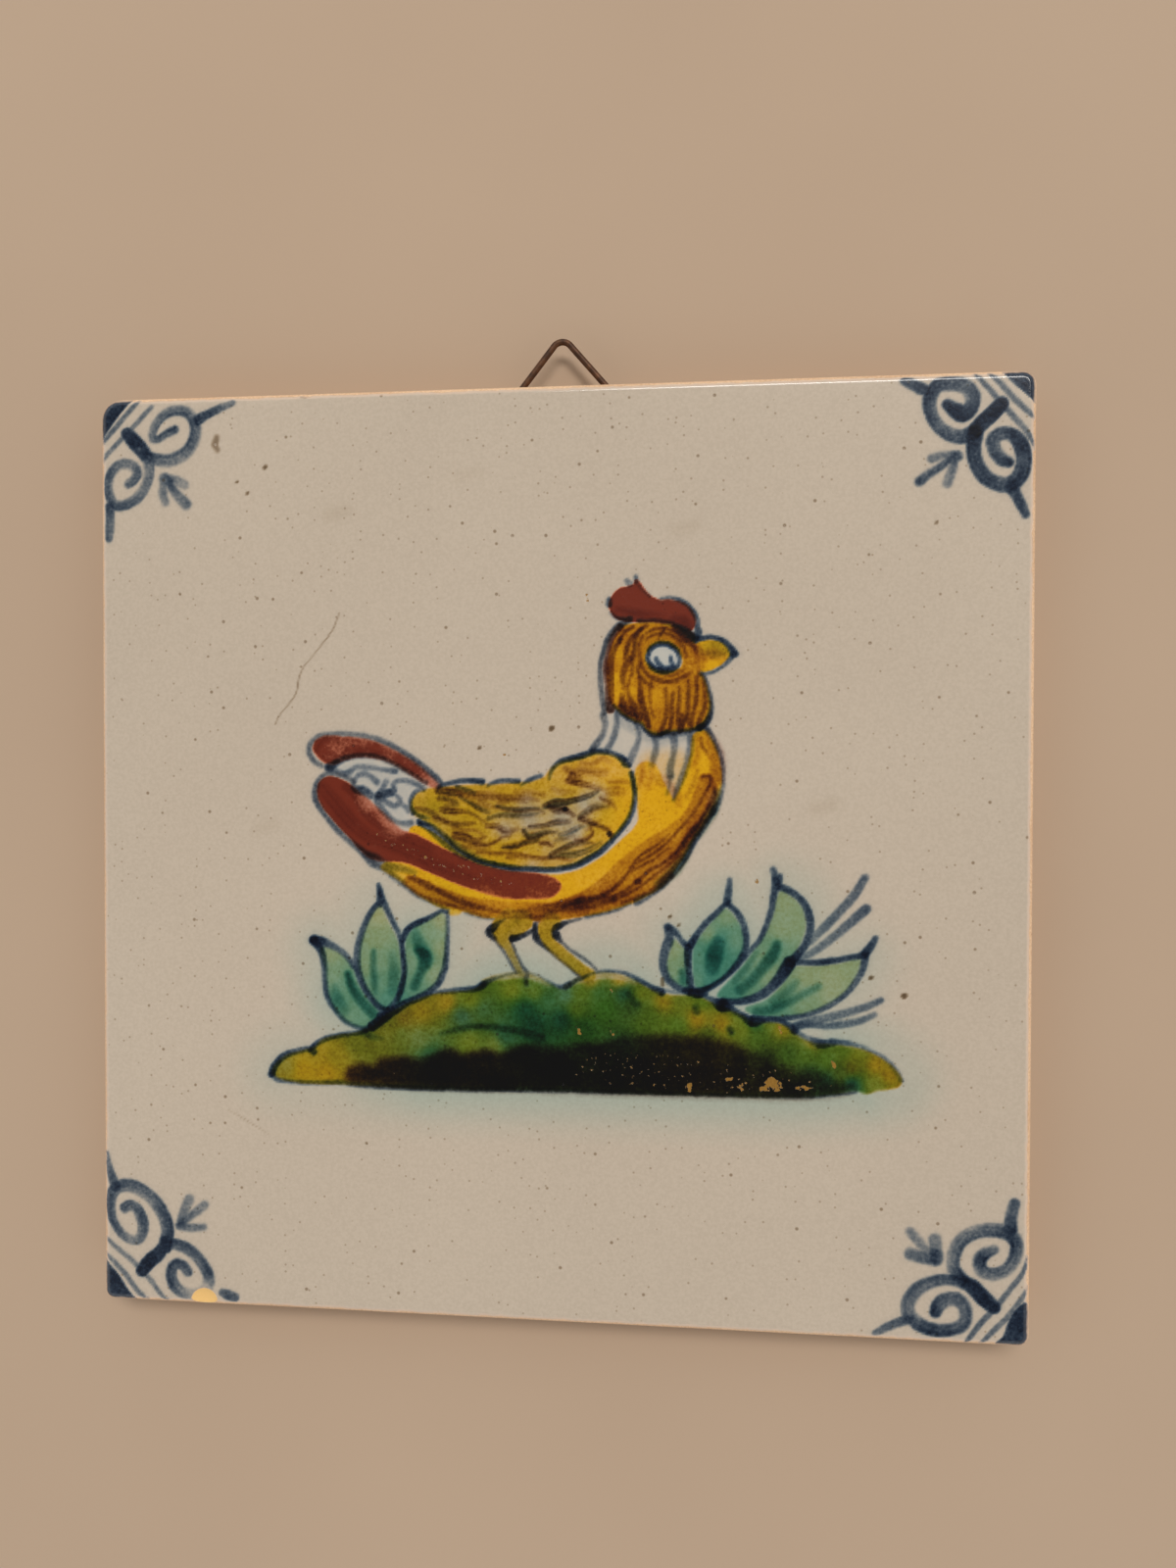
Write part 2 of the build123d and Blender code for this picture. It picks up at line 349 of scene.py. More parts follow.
mound_pools = (  # a place, and the loads of yellow, ochre, copper and manganese there
    (-37.4, -30.2, 1, 0.2, 0.4, 0.1), (-35, -30.6, 2.6, 0.2, 0.2, 0.1), (-31.6, -30.9, 2.6, 0.3, 0.2, 0.1),
    (-33, -28.3, 1.8, 0.3, 0.3, 0.1), (-30, -28.6, 2, 0.4, 0.4, 0.1), (-27, -26.6, 1.7, 0.4, 0.7, 0.2),
    (-24.6, -28.4, 1.6, 0.4, 0.7, 0.2), (-22, -23.8, 1.8, 0.7, 0.7, 0.2), (-18.2, -21.6, 2.3, 0.7, 0.3, 0.1),
    (-20.6, -22.8, 1.8, 0.8, 0.4, 0.3), (-14.4, -20.4, 2, 0.6, 0.3, 0.1), (-11, -20, 1.8, 0.3, 0.8, 0.1),
    (-18, -26, 0.7, 0.2, 0.8, 0.1), (-20.6, -25.2, 1, 0.3, 0.8, 0.1), (-16.6, -27.9, 0.4, 0.1, 1.7, 0.2),
    (-11, -26.1, 1.3, 0.2, 0.8, 0.1), (-7.6, -26.2, 1, 0.2, 0.8, 0.1), (-12, -22.4, 0.3, 0.1, 1.4, 0.25),
    (-9, -21.6, 0.6, 0.1, 1.4, 0.2), (-6, -25, 0.4, 0.1, 1.9, 0.3), (-5, -18.5, 1.8, 0.2, 0.8, 0.1),
    (-2, -18.7, 1.2, 0.1, 1, 0.1), (-3, -21.4, 0.3, 0.1, 2.8, 0.2), (-2, -23.2, 0.3, 0.1, 2.8, 0.4),
    (2, -22.6, 0.3, 0.1, 2.8, 0.4), (0, -20, 0.5, 0.1, 1.6, 0.1), (2.5, -19.2, 0.3, 0.1, 1.2, 0.1),
    (4.6, -18.9, 1.2, 0.1, 1, 0.1), (4, -21, 1.6, 0.3, 1.2, 0.2), (7.2, -18.8, 0.8, 0.1, 1.5, 0.1),
    (8, -20.6, 1.3, 0.2, 1.7, 0.1), (10.6, -18.8, 0.3, 0.1, 2, 0.3), (11.8, -20.2, 1, 0.3, 1.6, 0.4),
    (6, -16.9, 1.3, 0.3, 0.3, 0.1), (10, -16.9, 1.3, 0.3, 0.3, 0.1), (13, -18.8, 1.7, 0.3, 0.8, 0.1),
    (16, -19.6, 2.1, 0.6, 0.4, 0.1), (18.4, -19.2, 1.3, 0.2, 0.8, 0.1), (21.4, -19.4, 1.6, 0.2, 1, 0.1),
    (14, -22, 1.6, 0.3, 1.2, 0.2), (5, -23.6, 1, 0.2, 2.1, 0.3), (18, -23, 1.4, 0.2, 1.1, 0.1),
    (20.6, -22, 2.3, 0.7, 0.3, 0.1), (24, -22.4, 2.3, 0.7, 0.3, 0.1), (26.2, -21.6, 1.4, 0.2, 0.8, 0.1),
    (22, -24.1, 1.6, 0.3, 1, 0.4), (27, -23.4, 1.6, 0.3, 0.8, 0.1), (28.6, -22.7, 0.7, 0.1, 1.6, 0.1),
    (30.4, -22.4, 1.3, 0.2, 0.8, 0.1), (32, -22.7, 1.8, 0.4, 0.3, 0.1), (29, -24.2, 1.3, 0.2, 1.2, 0.2),
    (33, -26.4, 1.3, 0.3, 1.4, 0.3), (30, -27.2, 1, 0.3, 1.4, 0.8), (36, -24.9, 1.3, 0.3, 0.4, 0.1),
    (35.4, -26.2, 1.4, 0.3, 1.2, 0.1), (38, -27, 1.4, 0.2, 1.2, 0.1), (40, -25.9, 1.3, 0.2, 1, 0.1),
    (42, -26.6, 1.7, 0.3, 0.7, 0.1), (44.6, -27.6, 2.3, 0.6, 0.3, 0.1), (46.4, -28.8, 2.3, 0.6, 0.3, 0.1),
    (41.4, -28, 2, 0.9, 0.7, 0.2), (44.6, -30.2, 1.2, 0.2, 0.7, 0.1), (40, -28.9, 1.4, 0.7, 1.2, 0.3),
    (41.4, -30.2, 0.1, 0.1, 2.2, 0.1), (38, -30.1, 0.4, 0.1, 2.1, 0.7), (36, -29.2, 0.7, 0.2, 1.7, 0.5),
    (10, -26, 0.7, 0.2, 1.9, 0.5))
for number, pigment in enumerate((yellow, ochre, copper, manganese), 2):
    wash(pigment, mound_edge, soft=0.6, pools=[(*pool[:2], pool[number]) for pool in mound_pools])
wash(manganese, mound_foot, soft=2.0, pools=[
    (-26, -30.8, 2.6), (-12, -30, 3.2), (2, -29.6, 3.2), (14, -29.4, 3), (22, -29.4, 2.8), (4, -27, 2),
    (12, -26, 1.7), (20, -26, 1.9), (25, -26.4, 1.3), (28, -27.4, 1), (26, -28.6, 2.2), (30, -30.2, 2.4),
    (31.4, -28.6, 1), (34, -29.4, 1), (34, -31, 2.2), (38, -30.8, 1)])
for points, width, load in (
    ([(-15, -24.9), (-12.8, -24.3), (-10.4, -23.8), (-7, -23.9), (-4, -24.3), (-1, -25.2)], (0.5, 0.8, 0.8, 1.4),
     (0.5, 0.9, 0.7)),
    ([(20.4, -20.4), (20.6, -21)], 0.7, 0.8),
    ([(25, -23.2), (25.3, -23.7)], 0.7, 0.9),
    ([(11.2, -18.8), (11.7, -19.6), (12.4, -20.2)], 0.7, 0.5),
    ([(-26, -25), (-25, -25.6), (-23.6, -25.8)], (0.9, 0.8, 0.4), (0.9, 0.6, 0.3)),
):
    stroke(copper, points, width, load, soft=0.9)
    stroke(manganese, points, width, np.array(load) * 0.7, soft=0.7)

for claws in ([(-9, -17.5), (-7.2, -16.9), (-5, -16.5), (-3, -16.4), (-1.2, -17), (0.2, -17.8)],
              [(2.4, -18), (4.2, -17), (6.2, -16.4), (8.4, -16.2), (10.4, -16.5), (12.2, -17.3)]):
    stroke("bare glaze", claws, (0.6, 1.1, 1.2, 1.1, 0.6), (0.6, 0.85, 0.85, 0.6), soft=0.6)
    stroke(yellow, claws, (0.5, 0.9, 0.5), (0.5, 0.4, 0.5), soft=0.6)
    stroke(blue, claws, (0.5, 0.9, 0.5), 0.15, soft=0.6)
mound_lines = (
    ([(-39.6, -31.3), (-39.2, -30.2), (-38, -28.8), (-36.2, -28), (-34, -27.6), (-33.4, -28)],
     (1, 0.9, 0.9, 0.7, 0.8), (1.7, 1.5, 1.2, 1, 1.4)),
    ([(-33.9, -27.7), (-32.8, -26.6), (-31, -25.8), (-28.6, -25.3), (-26.6, -25), (-25, -24.2)],
     (0.7, 0.7, 0.6, 0.8), (1.7, 1.1, 1, 1.5)),
    ([(-25, -24.2), (-23.6, -23.2), (-22.4, -22.2), (-20.4, -21), (-18.2, -20), (-16.6, -19.3)],
     (1.3, 1.4, 0.8, 0.7), (2.2, 2.4, 1.4, 1.1)),
    ([(-17, -19.3), (-14.6, -19), (-12.2, -18.7), (-10.2, -18.5), (-9, -17.9)], (0.5, 0.7, 0.8, 0.9),
     (0.7, 1, 1.3, 1.7)),
    ([(-9.2, -17.9), (-7.6, -17.1), (-5.6, -16.4), (-3.4, -16.1), (-1.2, -16.6), (0.4, -17.5), (1.8, -18), (3, -17.6)],
     (0.8, 0.4, 0.35, 0.35, 0.5, 0.8), (1.5, 0.6, 0.5, 0.5, 0.8, 1.4)),
    ([(2.4, -18), (4, -17), (5.8, -16.2), (8, -15.7), (10.4, -15.8), (12.4, -16.7), (14.4, -17.8), (15.8, -18.4)],
     (0.7, 0.5, 0.4, 0.45, 0.6, 0.9), (1.4, 0.9, 0.8, 0.9, 1.1, 1.9)),
    ([(15.6, -18), (17.4, -18.3), (19.4, -18.4)], 0.45, 0.5),
    ([(19, -18.1), (20.6, -18.5), (21.6, -18.6)], (0.8, 1.2, 0.8), (1.6, 2.6, 1.4)),
    ([(21.4, -18.8), (22.8, -19.4), (24, -20), (25.2, -20.4)], (0.5, 0.8, 1.7, 0.8), (0.7, 1.2, 2.9, 1.4)),
    ([(25.2, -20.5), (26.8, -21.4), (28.2, -22.2), (29.6, -21.9), (31.6, -21.9), (33, -22.6), (33.8, -23.2)],
     (0.7, 0.8, 1.2, 0.8, 0.7, 0.8, 1.1), (1.2, 1.4, 2.4, 1.4, 1.1, 1.3, 1.8)),
    ([(33.8, -23.4), (35.4, -24.2), (37.2, -24.9), (39, -24.7)], (0.6, 0.7, 1.2, 0.9), (0.8, 0.7, 1.3, 1)),
    ([(38.6, -24.6), (41, -24.8), (43.4, -25.5), (45.6, -26.6), (47.2, -28.2), (48, -29.6)],
     (0.8, 0.6, 0.5, 0.6, 0.5), (1, 0.7, 0.55, 0.7, 0.6)),
    ([(-39.6, -31.2), (-38.6, -32.1), (-35, -32.4), (-30, -32.3), (-24, -32.6), (-14, -32.6), (-2, -32.4),
      (10, -32.3), (24, -32.3), (36, -32.1), (42, -31.3)],
     (0.7, 0.6, 0.6, 0.7, 0.6, 0.5, 0.4, 0.3), (1, 0.75, 0.8, 1.1, 1.2, 1.2, 1, 0.8)),
)
strokes(blue, mound_lines, soft=0.4)
print("touches with the mound:", len(marks))

# %% [markdown]
# ## The leaves
#
# Seven leaves and four blades of grass stand at the ends of the mound. A leaf
# is two blue pulls that meet in a point, a thin copper wash, and one wet drop
# of a deeper green that spread downwards from the rib.

# %% The leaves


def leaf(outline, pools, ribs, lines):
    """A copper wash with its pools, the darker ribs, and the blue pulls round it."""
    wash(copper, outline, soft=0.5, pools=[(x, y, 0.12 + 0.8 * load) for x, y, load in pools])
    wash(yellow, outline, soft=0.5, pools=[(x, y, max(0, 0.3 - 0.2 * load)) for x, y, load in pools])
    for points, width, load in ribs:
        stroke(copper, points, width, load, soft=1.0)
        stroke(blue, points, width, np.array(load) * 0.35, soft=0.8)
    strokes(blue, lines, soft=0.42)


leaf(  # the left leaf
    [(-32.4, -13.2), (-30.6, -13.4), (-28.8, -14.6), (-27.6, -16.2), (-26.8, -18.4), (-25.4, -20.4), (-24, -22),
     (-24.6, -23.8), (-26.4, -24.4), (-28.8, -23.6), (-30.6, -21.6), (-31.5, -18.8), (-31.8, -16)],
    [(-31.2, -14, 0.45), (-30.6, -17, 0.65), (-29.6, -20.6, 1), (-28.6, -23, 0.8), (-26.4, -23.6, 0.9),
     (-28.6, -18, 0.9)],
    [([(-28.5, -16.8), (-28, -18.4), (-27, -20), (-25.8, -21.4), (-24.8, -22.4)], (0.7, 1.1, 1.2, 1.4),
      (1.6, 1.2, 1.1, 1)),
     ([(-30.4, -18.6), (-30, -20.4), (-29, -22)], (0.8, 1.6, 1.6), (0.3, 0.6, 0.3))],
    [([(-33.4, -12.1), (-31.6, -12.5), (-29.8, -13.4), (-28.4, -14.6), (-27.6, -15.8)], (1.3, 1.1, 0.8, 0.7, 0.6),
      (2.6, 0.95, 0.8, 1, 1.2)),
     ([(-33.2, -12.2), (-32.3, -13.6), (-31.9, -15.6), (-31.8, -18), (-31.3, -20.4), (-30, -22.4), (-28.2, -23.9),
       (-26, -24.5), (-24.4, -23.9), (-23.6, -22.8)], (1.2, 0.9, 0.7, 0.7, 0.6, 0.6, 0.8, 1.4),
       (2.2, 1.2, 1.1, 1.3, 0.9, 0.8, 1, 1.9))])
leaf(  # the middle leaf
    [(-23.8, -7), (-22.6, -9.4), (-21.3, -12), (-20.7, -15), (-20.9, -18), (-21.8, -20.4), (-23, -21.8),
     (-24.6, -20.6), (-26, -18.4), (-26.9, -15.6), (-26.6, -12.2), (-25.4, -9.2)],
    [(-24, -8.4, 0.3), (-24.2, -11.6, 0.5), (-23, -14.6, 0.7), (-25.6, -15.6, 0.55), (-23.4, -17.6, 0.9),
     (-22.8, -20.2, 1.2), (-25, -19, 0.8)],
    [([(-24.7, -13.6), (-24.8, -15.4), (-24.7, -17.2), (-24.5, -19.4)], (0.5, 0.8, 0.9, 0.8), (0.9, 0.7, 0.8, 0.5)),
     ([(-22, -14), (-21.8, -16.4), (-22, -19)], (1.2, 1.6, 1.4), (0.2, 0.5, 0.4))],
    [([(-24, -4.2), (-23.8, -5.4), (-23.8, -6.8)], (0.5, 0.9, 1), (1.4, 1.6, 1.4)),
     ([(-24, -6.6), (-25.2, -8.2), (-26.3, -10.4), (-27, -13), (-27.1, -15.6), (-26.5, -17.8), (-25.4, -19.8),
       (-24, -21.3), (-22.8, -21.9)], (0.6, 0.8, 0.9, 1, 0.8, 0.7, 0.9), (1.3, 1.2, 1, 1.2, 1.5, 1.6, 1.8)),
     ([(-23.7, -5.6), (-22.8, -7.6), (-21.8, -9.6), (-20.9, -11.6), (-20.5, -13.8), (-20.3, -16.2), (-20.7, -18.4),
       (-21.4, -20.4), (-22.6, -21.8)], (0.8, 0.7, 0.6, 0.6, 0.7, 0.8, 0.9), (1.4, 1.2, 1, 1.7, 1.8, 1.7, 1.6))])
leaf(  # the right one of the three
    [(-15, -7.9), (-14.2, -9.4), (-14.4, -12.6), (-14.6, -15.6), (-15.8, -18), (-17.8, -19.4), (-20.2, -20.6),
     (-21.6, -21.2), (-21, -19), (-20.3, -16.4), (-20.2, -13.6), (-20, -11.4), (-18.6, -9.9), (-16.8, -9)],
    [(-15.2, -9, 0.35), (-15.2, -13, 0.45), (-15.6, -16.6, 0.5), (-18.8, -11.4, 0.9), (-19.6, -14.6, 0.7),
     (-17.4, -13.8, 1.1), (-18.6, -18.6, 0.9), (-20.4, -20.2, 1.2), (-16.6, -10.6, 0.6)],
    [([(-18.3, -13.2), (-17.5, -14), (-17.3, -14.9), (-18, -16.4), (-18.9, -18.4)], (1, 1.7, 1.7, 1.1, 1.2),
      (1.5, 1.6, 1.3, 0.9, 0.8)),
     ([(-18.8, -10.6), (-18.4, -12), (-17.8, -13.2)], (1, 1.6, 1.6), (0.3, 0.6, 0.5))],
    [([(-20.7, -12), (-20, -10.6), (-19.2, -9.9), (-17.8, -9.2), (-16.2, -8.4), (-15, -7.7), (-14.3, -7.9)],
      (0.8, 0.7, 0.7, 0.5, 0.5), (1.6, 2, 1.9, 1.1, 1.2)),
     ([(-14.2, -7.9), (-14.1, -9.8), (-14.2, -12), (-14.4, -14.4), (-14.6, -16), (-15.4, -17.8), (-16.8, -19),
       (-18.8, -20), (-20.8, -20.9), (-22.4, -21.7)], (0.5, 0.6, 0.7, 0.9, 0.8, 0.6, 0.8),
       (0.7, 0.8, 1.1, 1.5, 1.3, 1.5, 2))])
leaf(  # the small leaf on the right
    [(17.3, -11.2), (18.4, -12), (19.4, -13), (19.4, -15.4), (19.5, -17.6), (18.2, -17.4), (16.9, -16.4), (16.4, -14.6),
     (16.8, -12.8)],
    [(17.8, -12.6, 0.4), (17.6, -15.4, 0.6), (18.8, -17, 1), (18.8, -14, 0.6)],
    [([(18.6, -15.6), (18.8, -16.8)], 0.9, 0.8)],
    [([(16.6, -9.5), (17.6, -10.2), (18.4, -11.2), (19.2, -12)], (1, 0.9, 0.6, 0.8), (1.3, 1.2, 1, 1.8)),
     ([(16.6, -9.6), (16.8, -11), (16.2, -12.6), (15.9, -14.4), (16.3, -16), (17.2, -17.2), (18.6, -17.9), (19.8, -18)],
      (0.9, 1.3, 1.1, 0.9, 0.8, 0.8), (1.2, 1, 0.9, 1.4, 1.2, 1.8)),
     ([(19.4, -12), (19.3, -14), (19.5, -16), (19.8, -18.2)], (0.9, 0.8, 0.9), (2, 1.5, 1.8))])
leaf(  # the pointed leaf beside it
    [(24.4, -6.8), (25.8, -8.2), (26.8, -10.2), (26.8, -12.4), (25.8, -14.4), (24, -16.4), (22, -17.8), (20.4, -17.6),
     (20, -15), (20, -12.6), (21, -10.6), (22.8, -8.4)],
    [(24.6, -7.8, 0.6), (22.2, -10.2, 0.6), (23.6, -11.2, 1.4), (25.8, -11, 0.9), (23, -13.4, 2.4), (20.8, -13.6, 1.1),
     (24.4, -14.4, 1.3), (22, -16.6, 1.5), (20.8, -16.6, 1)],
    [([(23.4, -11.6), (22.9, -13.4), (22.6, -15)], (1.8, 2.2, 1.8), (0.7, 1.1, 0.7))],
    [([(24.9, -2.9), (24.8, -4.4), (24.6, -6)], (0.6, 0.9, 1), (0.9, 1.3, 1.5)),
     ([(24.4, -6.2), (23, -7.6), (21.6, -9), (20.4, -10.6), (19.6, -12)], (0.6, 0.8, 0.8, 0.9), (1.2, 1.1, 1.2, 2.2)),
     ([(24.6, -6), (26, -7.4), (26.9, -9.2), (27.2, -11.2), (26.9, -12.8), (26, -14.4), (24.6, -15.9), (23, -17.2),
       (21.2, -18.1), (19.8, -18.2)], (0.6, 0.8, 0.8, 0.9, 0.6, 0.7, 0.9), (1.4, 1.1, 1.2, 1.5, 1.5, 1.7, 2.2))])
leaf(  # the tall curved leaf
    [(31.6, -4.4), (33.2, -5), (34.6, -6.4), (35.2, -8.4), (34.8, -10.6), (33.6, -12.8), (32, -14.6), (30.6, -16.6),
     (28.4, -18.4), (25.8, -19.2), (23.4, -18.8), (24.2, -17.4), (26.2, -15.2), (28, -12.8), (29.6, -10.4),
     (30.8, -7.6)],
    [(32.4, -5.6, 0.45), (34.2, -8, 0.5), (32, -9.4, 0.5), (31.2, -12.2, 0.9), (29, -13.6, 0.7), (30.2, -16, 0.6),
     (27, -16, 0.9), (25.2, -18.4, 1.3), (28.4, -18, 0.9)],
    [([(31.3, -11.6), (30.9, -12.8), (29.6, -14.6), (27.9, -16.6), (26.4, -17.8)], (1, 1.4, 1.3, 1.4),
      (1.1, 1.2, 0.9, 0.7)),
     ([(28.6, -12.6), (27.4, -14.6), (25.8, -16.6)], (0.6, 0.9, 1), (0.3, 0.5, 0.5))],
    [([(30.8, -1.4), (31.2, -2.8), (31.5, -3.8)], (0.8, 0.9, 0.9), (0.9, 1.1, 1.5)),
     ([(31.7, -2.4), (31.6, -3.6), (33.2, -4.4), (34.7, -5.6), (35.6, -7.4), (35.8, -9.4), (35.2, -11.4), (34.2, -12.8),
       (33, -14)], (0.8, 0.8, 0.8, 1, 1, 1, 1.3), (1.2, 1.6, 1.3, 1.2, 1.1, 1.3, 2.2)),
     ([(33, -14), (32.2, -15.4), (31, -17), (29.4, -18.4), (27.4, -19.2), (25.4, -19.5), (24, -19.6)],
      (1.7, 1.5, 1.2, 1, 0.8, 1.1), (2.6, 1.5, 1.2, 1.4, 1.3, 2.2)),
     ([(31.1, -2.6), (30.9, -4.8), (30.6, -6.8), (29.9, -9), (29, -11), (27.9, -12.3), (26.8, -13.6)],
      (0.9, 0.8, 0.7, 0.6, 0.6), (1.2, 1.3, 1.1, 1, 1.2))])
leaf(  # the low leaf on the right
    [(42.4, -13.4), (42, -15.4), (40.8, -17.4), (38.8, -19.2), (36.4, -20.4), (33.6, -21.2), (30.6, -21.4), (27.8, -21),
     (27.2, -20.2), (29.4, -19.4), (31.2, -18), (32.6, -16.2), (33.6, -14.6), (36.4, -14.4), (39.6, -14)],
    [(41.4, -14.6, 0.45), (38.6, -16, 0.4), (39, -18.2, 0.4), (35.4, -15.8, 0.45), (35.6, -19.2, 0.6), (33, -17.8, 0.7),
     (31.4, -20.6, 1), (28.6, -20.6, 1)],
    [([(36.9, -17.2), (35, -18.2), (32.8, -19.4), (30.6, -20.4), (28.6, -20.9)], (0.8, 0.9, 1.1, 1.2),
      (0.6, 0.6, 0.9, 0.7)),
     ([(34, -16.6), (32.6, -18.2), (30.8, -19.4)], (0.8, 1.2, 1), (0.3, 0.5, 0.4))],
    [([(44.4, -10.5), (43.8, -11.6), (42.9, -12.8)], (0.7, 1, 1.1), (0.9, 1.2, 1.4)),
     ([(43, -12.8), (41, -13.2), (38.8, -13.6), (36.8, -13.9), (34.8, -13.9), (33.4, -13.8)],
      (0.8, 0.7, 0.8, 0.7, 0.8), (1.3, 1.2, 1.6, 1.1, 1.3)),
     ([(43.2, -12.6), (42.8, -14.6), (42, -16.2), (40.8, -17.8), (39.2, -19.2), (37.2, -20.3), (35, -21.1),
       (32.6, -21.6),
       (30, -21.8), (28.2, -21.8)], (0.9, 0.8, 0.7, 0.7, 0.6, 0.7, 1), (1.3, 1, 1, 1.1, 1, 1.3, 2))])

blades = (
    ([(43, -2.4), (41.8, -4.4), (40.2, -6.4), (38.4, -8.4), (36.6, -10.2), (35.9, -11)], (0.7, 0.8, 0.8, 0.7),
     (0.7, 0.6, 0.55, 0.5, 0.4)),
    ([(43.1, -6.6), (41.4, -8.2), (39.4, -10), (37.4, -11.6), (35.8, -12.7), (34.4, -13.4)], (0.9, 0.8, 0.7, 0.6),
     (0.7, 0.55, 0.5, 0.4)),
    ([(45.2, -18.8), (43.2, -19.8), (40.8, -20.6), (38.2, -21.3), (35.6, -21.9), (33.8, -22.6)], (0.5, 0.7, 0.8, 0.7),
     (0.6, 0.65, 0.55, 0.5, 0.7)),
    ([(44.3, -20.8), (42.6, -21.6), (40.4, -22.1), (38, -22.4), (35.6, -22.3), (33.8, -22.7)], (0.5, 0.7, 0.6, 0.7),
     (0.5, 0.6, 0.6, 0.9)),
)
strokes(blue, blades, wider=1.4, fuller=1.3, soft=0.5)
print("touches with the leaves:", len(marks))

# %% [markdown]
# ## The hen
#
# The hen was painted from the lightest colour to the darkest: an opaque white
# on the neck, antimony yellow on body and wing, ochre over it for the brown
# breast, iron red for the comb and the two long tail feathers, and at last the
# blue contour. Yellow, red and white hide what is under them. Ochre, copper,
# manganese and cobalt stain it, so the material treats the two sorts apart.

# %% The body, the neck and the legs
wash(white, [(8.3, 19.8), (9.8, 20.4), (11.6, 19.2), (13, 18), (14.8, 17), (18, 17), (20.4, 17.6), (19.9, 16),
             (19.3, 14), (18.5, 11.6), (17.3, 8.6), (16.2, 10), (15.2, 11.6), (14, 12.8), (12.2, 12.8),
             (11, 13.4), (9.4, 14.2), (7.8, 14.8), (6.6, 15.1), (7.6, 16.8)], 0.4, soft=0.6)
wash(yellow, [(12.4, 12.6), (13.6, 13.2), (14.9, 12.6), (15.8, 10.6), (16.6, 9), (17.3, 8), (18.2, 9.6), (19.1, 12.2),
              (19.7, 14.4), (20, 16.8), (21.4, 17.4), (22.5, 16), (23.3, 13.8), (23.7, 11.4), (23.6, 9),
              (22.4, 6.2), (20.4, 3.2), (18.2, -0.4), (16.2, -3.3), (13.6, -5.2), (10.4, -6.6), (6.4, -7.8),
              (3, -8.4), (0, -8.9), (-3, -8.7), (-6, -8.7), (-9, -8.4), (-12, -7.6), (-15, -7.2),
              (-18, -5.6), (-20.4, -3.9), (-22.4, -2.6), (-23.6, -1.6), (-22, -0.6), (-19.6, 0), (-19.6, 3.2),
              (-18.6, 4.1), (-16.6, 3.3), (-14.6, 2), (-12.6, 0.4), (-10, -0.9), (-6, -2.2), (-2, -2.5),
              (2.4, -2.4), (6.6, -0.6), (9.8, 1.9), (12.4, 4.8), (12.4, 7.4), (12.1, 9.4), (12, 11)], soft=0.5, pools=[
    (13, 11, 1.3), (14, 8, 2.6), (13.4, 4.6, 2.8), (10, 1.4, 2.4), (5.4, -2.2, 1.8), (1.6, -4, 2.2),
    (21, 15, 2.2), (22.6, 12.6, 3), (20.4, 9.4, 2.8), (17.4, 6, 2.8), (20, 4, 1.6), (16, -2, 1.4),
    (8, -6, 2.2), (-2, -7.8, 2.4), (-8, -8, 2), (-12, -4.8, 3), (-16, -3.2, 2.6), (-20, -2, 1.6),
    (-18, -5, 1.8), (-18, 3.2, 2.8), (-15, 1.8, 2.6), (23.4, 8, 0.8), (11.8, 8, 0.9)])
wash(yellow, [(13, 13.8), (15.6, 14.4), (18.6, 14.2), (19.6, 11), (17.4, 6.6), (14.6, 7.6), (12.8, 10.6)], 0.3,
     soft=2.6)
wash(yellow, [(-13.2, -7.2), (-12.2, -7.6), (-12.6, -8.1), (-13.6, -8.2), (-14, -7.8)], 1, soft=0.6)
wash(ochre, [(20.9, 11.2), (21.6, 11.5), (22.4, 11.2), (23.2, 9.6), (22.9, 7.4), (21.8, 5), (20, 2.4), (18, -0.8),
             (16, -3.3), (13.4, -5.2), (10, -6.7), (6, -7.9), (2, -8.5), (-2, -8.6), (-6, -8.6),
             (-9, -8.3), (-12, -7.4), (-15, -7), (-18, -5.6), (-20.3, -3.9), (-19.6, -2.8), (-16.2, -4),
             (-12, -5.5), (-8, -6.1), (-4, -6.3), (0, -6.3), (3, -5.6), (5.4, -4.3), (7.6, -2.6),
             (9.4, -0.8), (11.6, 1), (14.2, 2.9), (17, 4.6), (19, 6.6), (20.1, 9)], soft=0.5, pools=[
    (21.4, 10.6, 1.4), (20.8, 7.6, 1.2), (17.6, 4.2, 0.9), (13, 1.4, 1), (9.4, -1.6, 1.1), (6, -4.2, 1.3),
    (22.9, 9.4, 2.6), (22.8, 7.4, 3), (20.8, 3.6, 2.6), (18.2, -0.6, 2.4), (14, -3, 1.1), (11, -3, 1.2),
    (12.6, -5.4, 1.8),
    (8.4, -5, 2.6), (4, -6.4, 2.6), (0, -7.2, 2.2), (-5, -7, 0.9), (-6, -8.2, 1.2), (-12, -6.4, 1.5),
    (-17, -4.8, 1.2), (2, -8.2, 1.4), (8, -7, 1.6)])
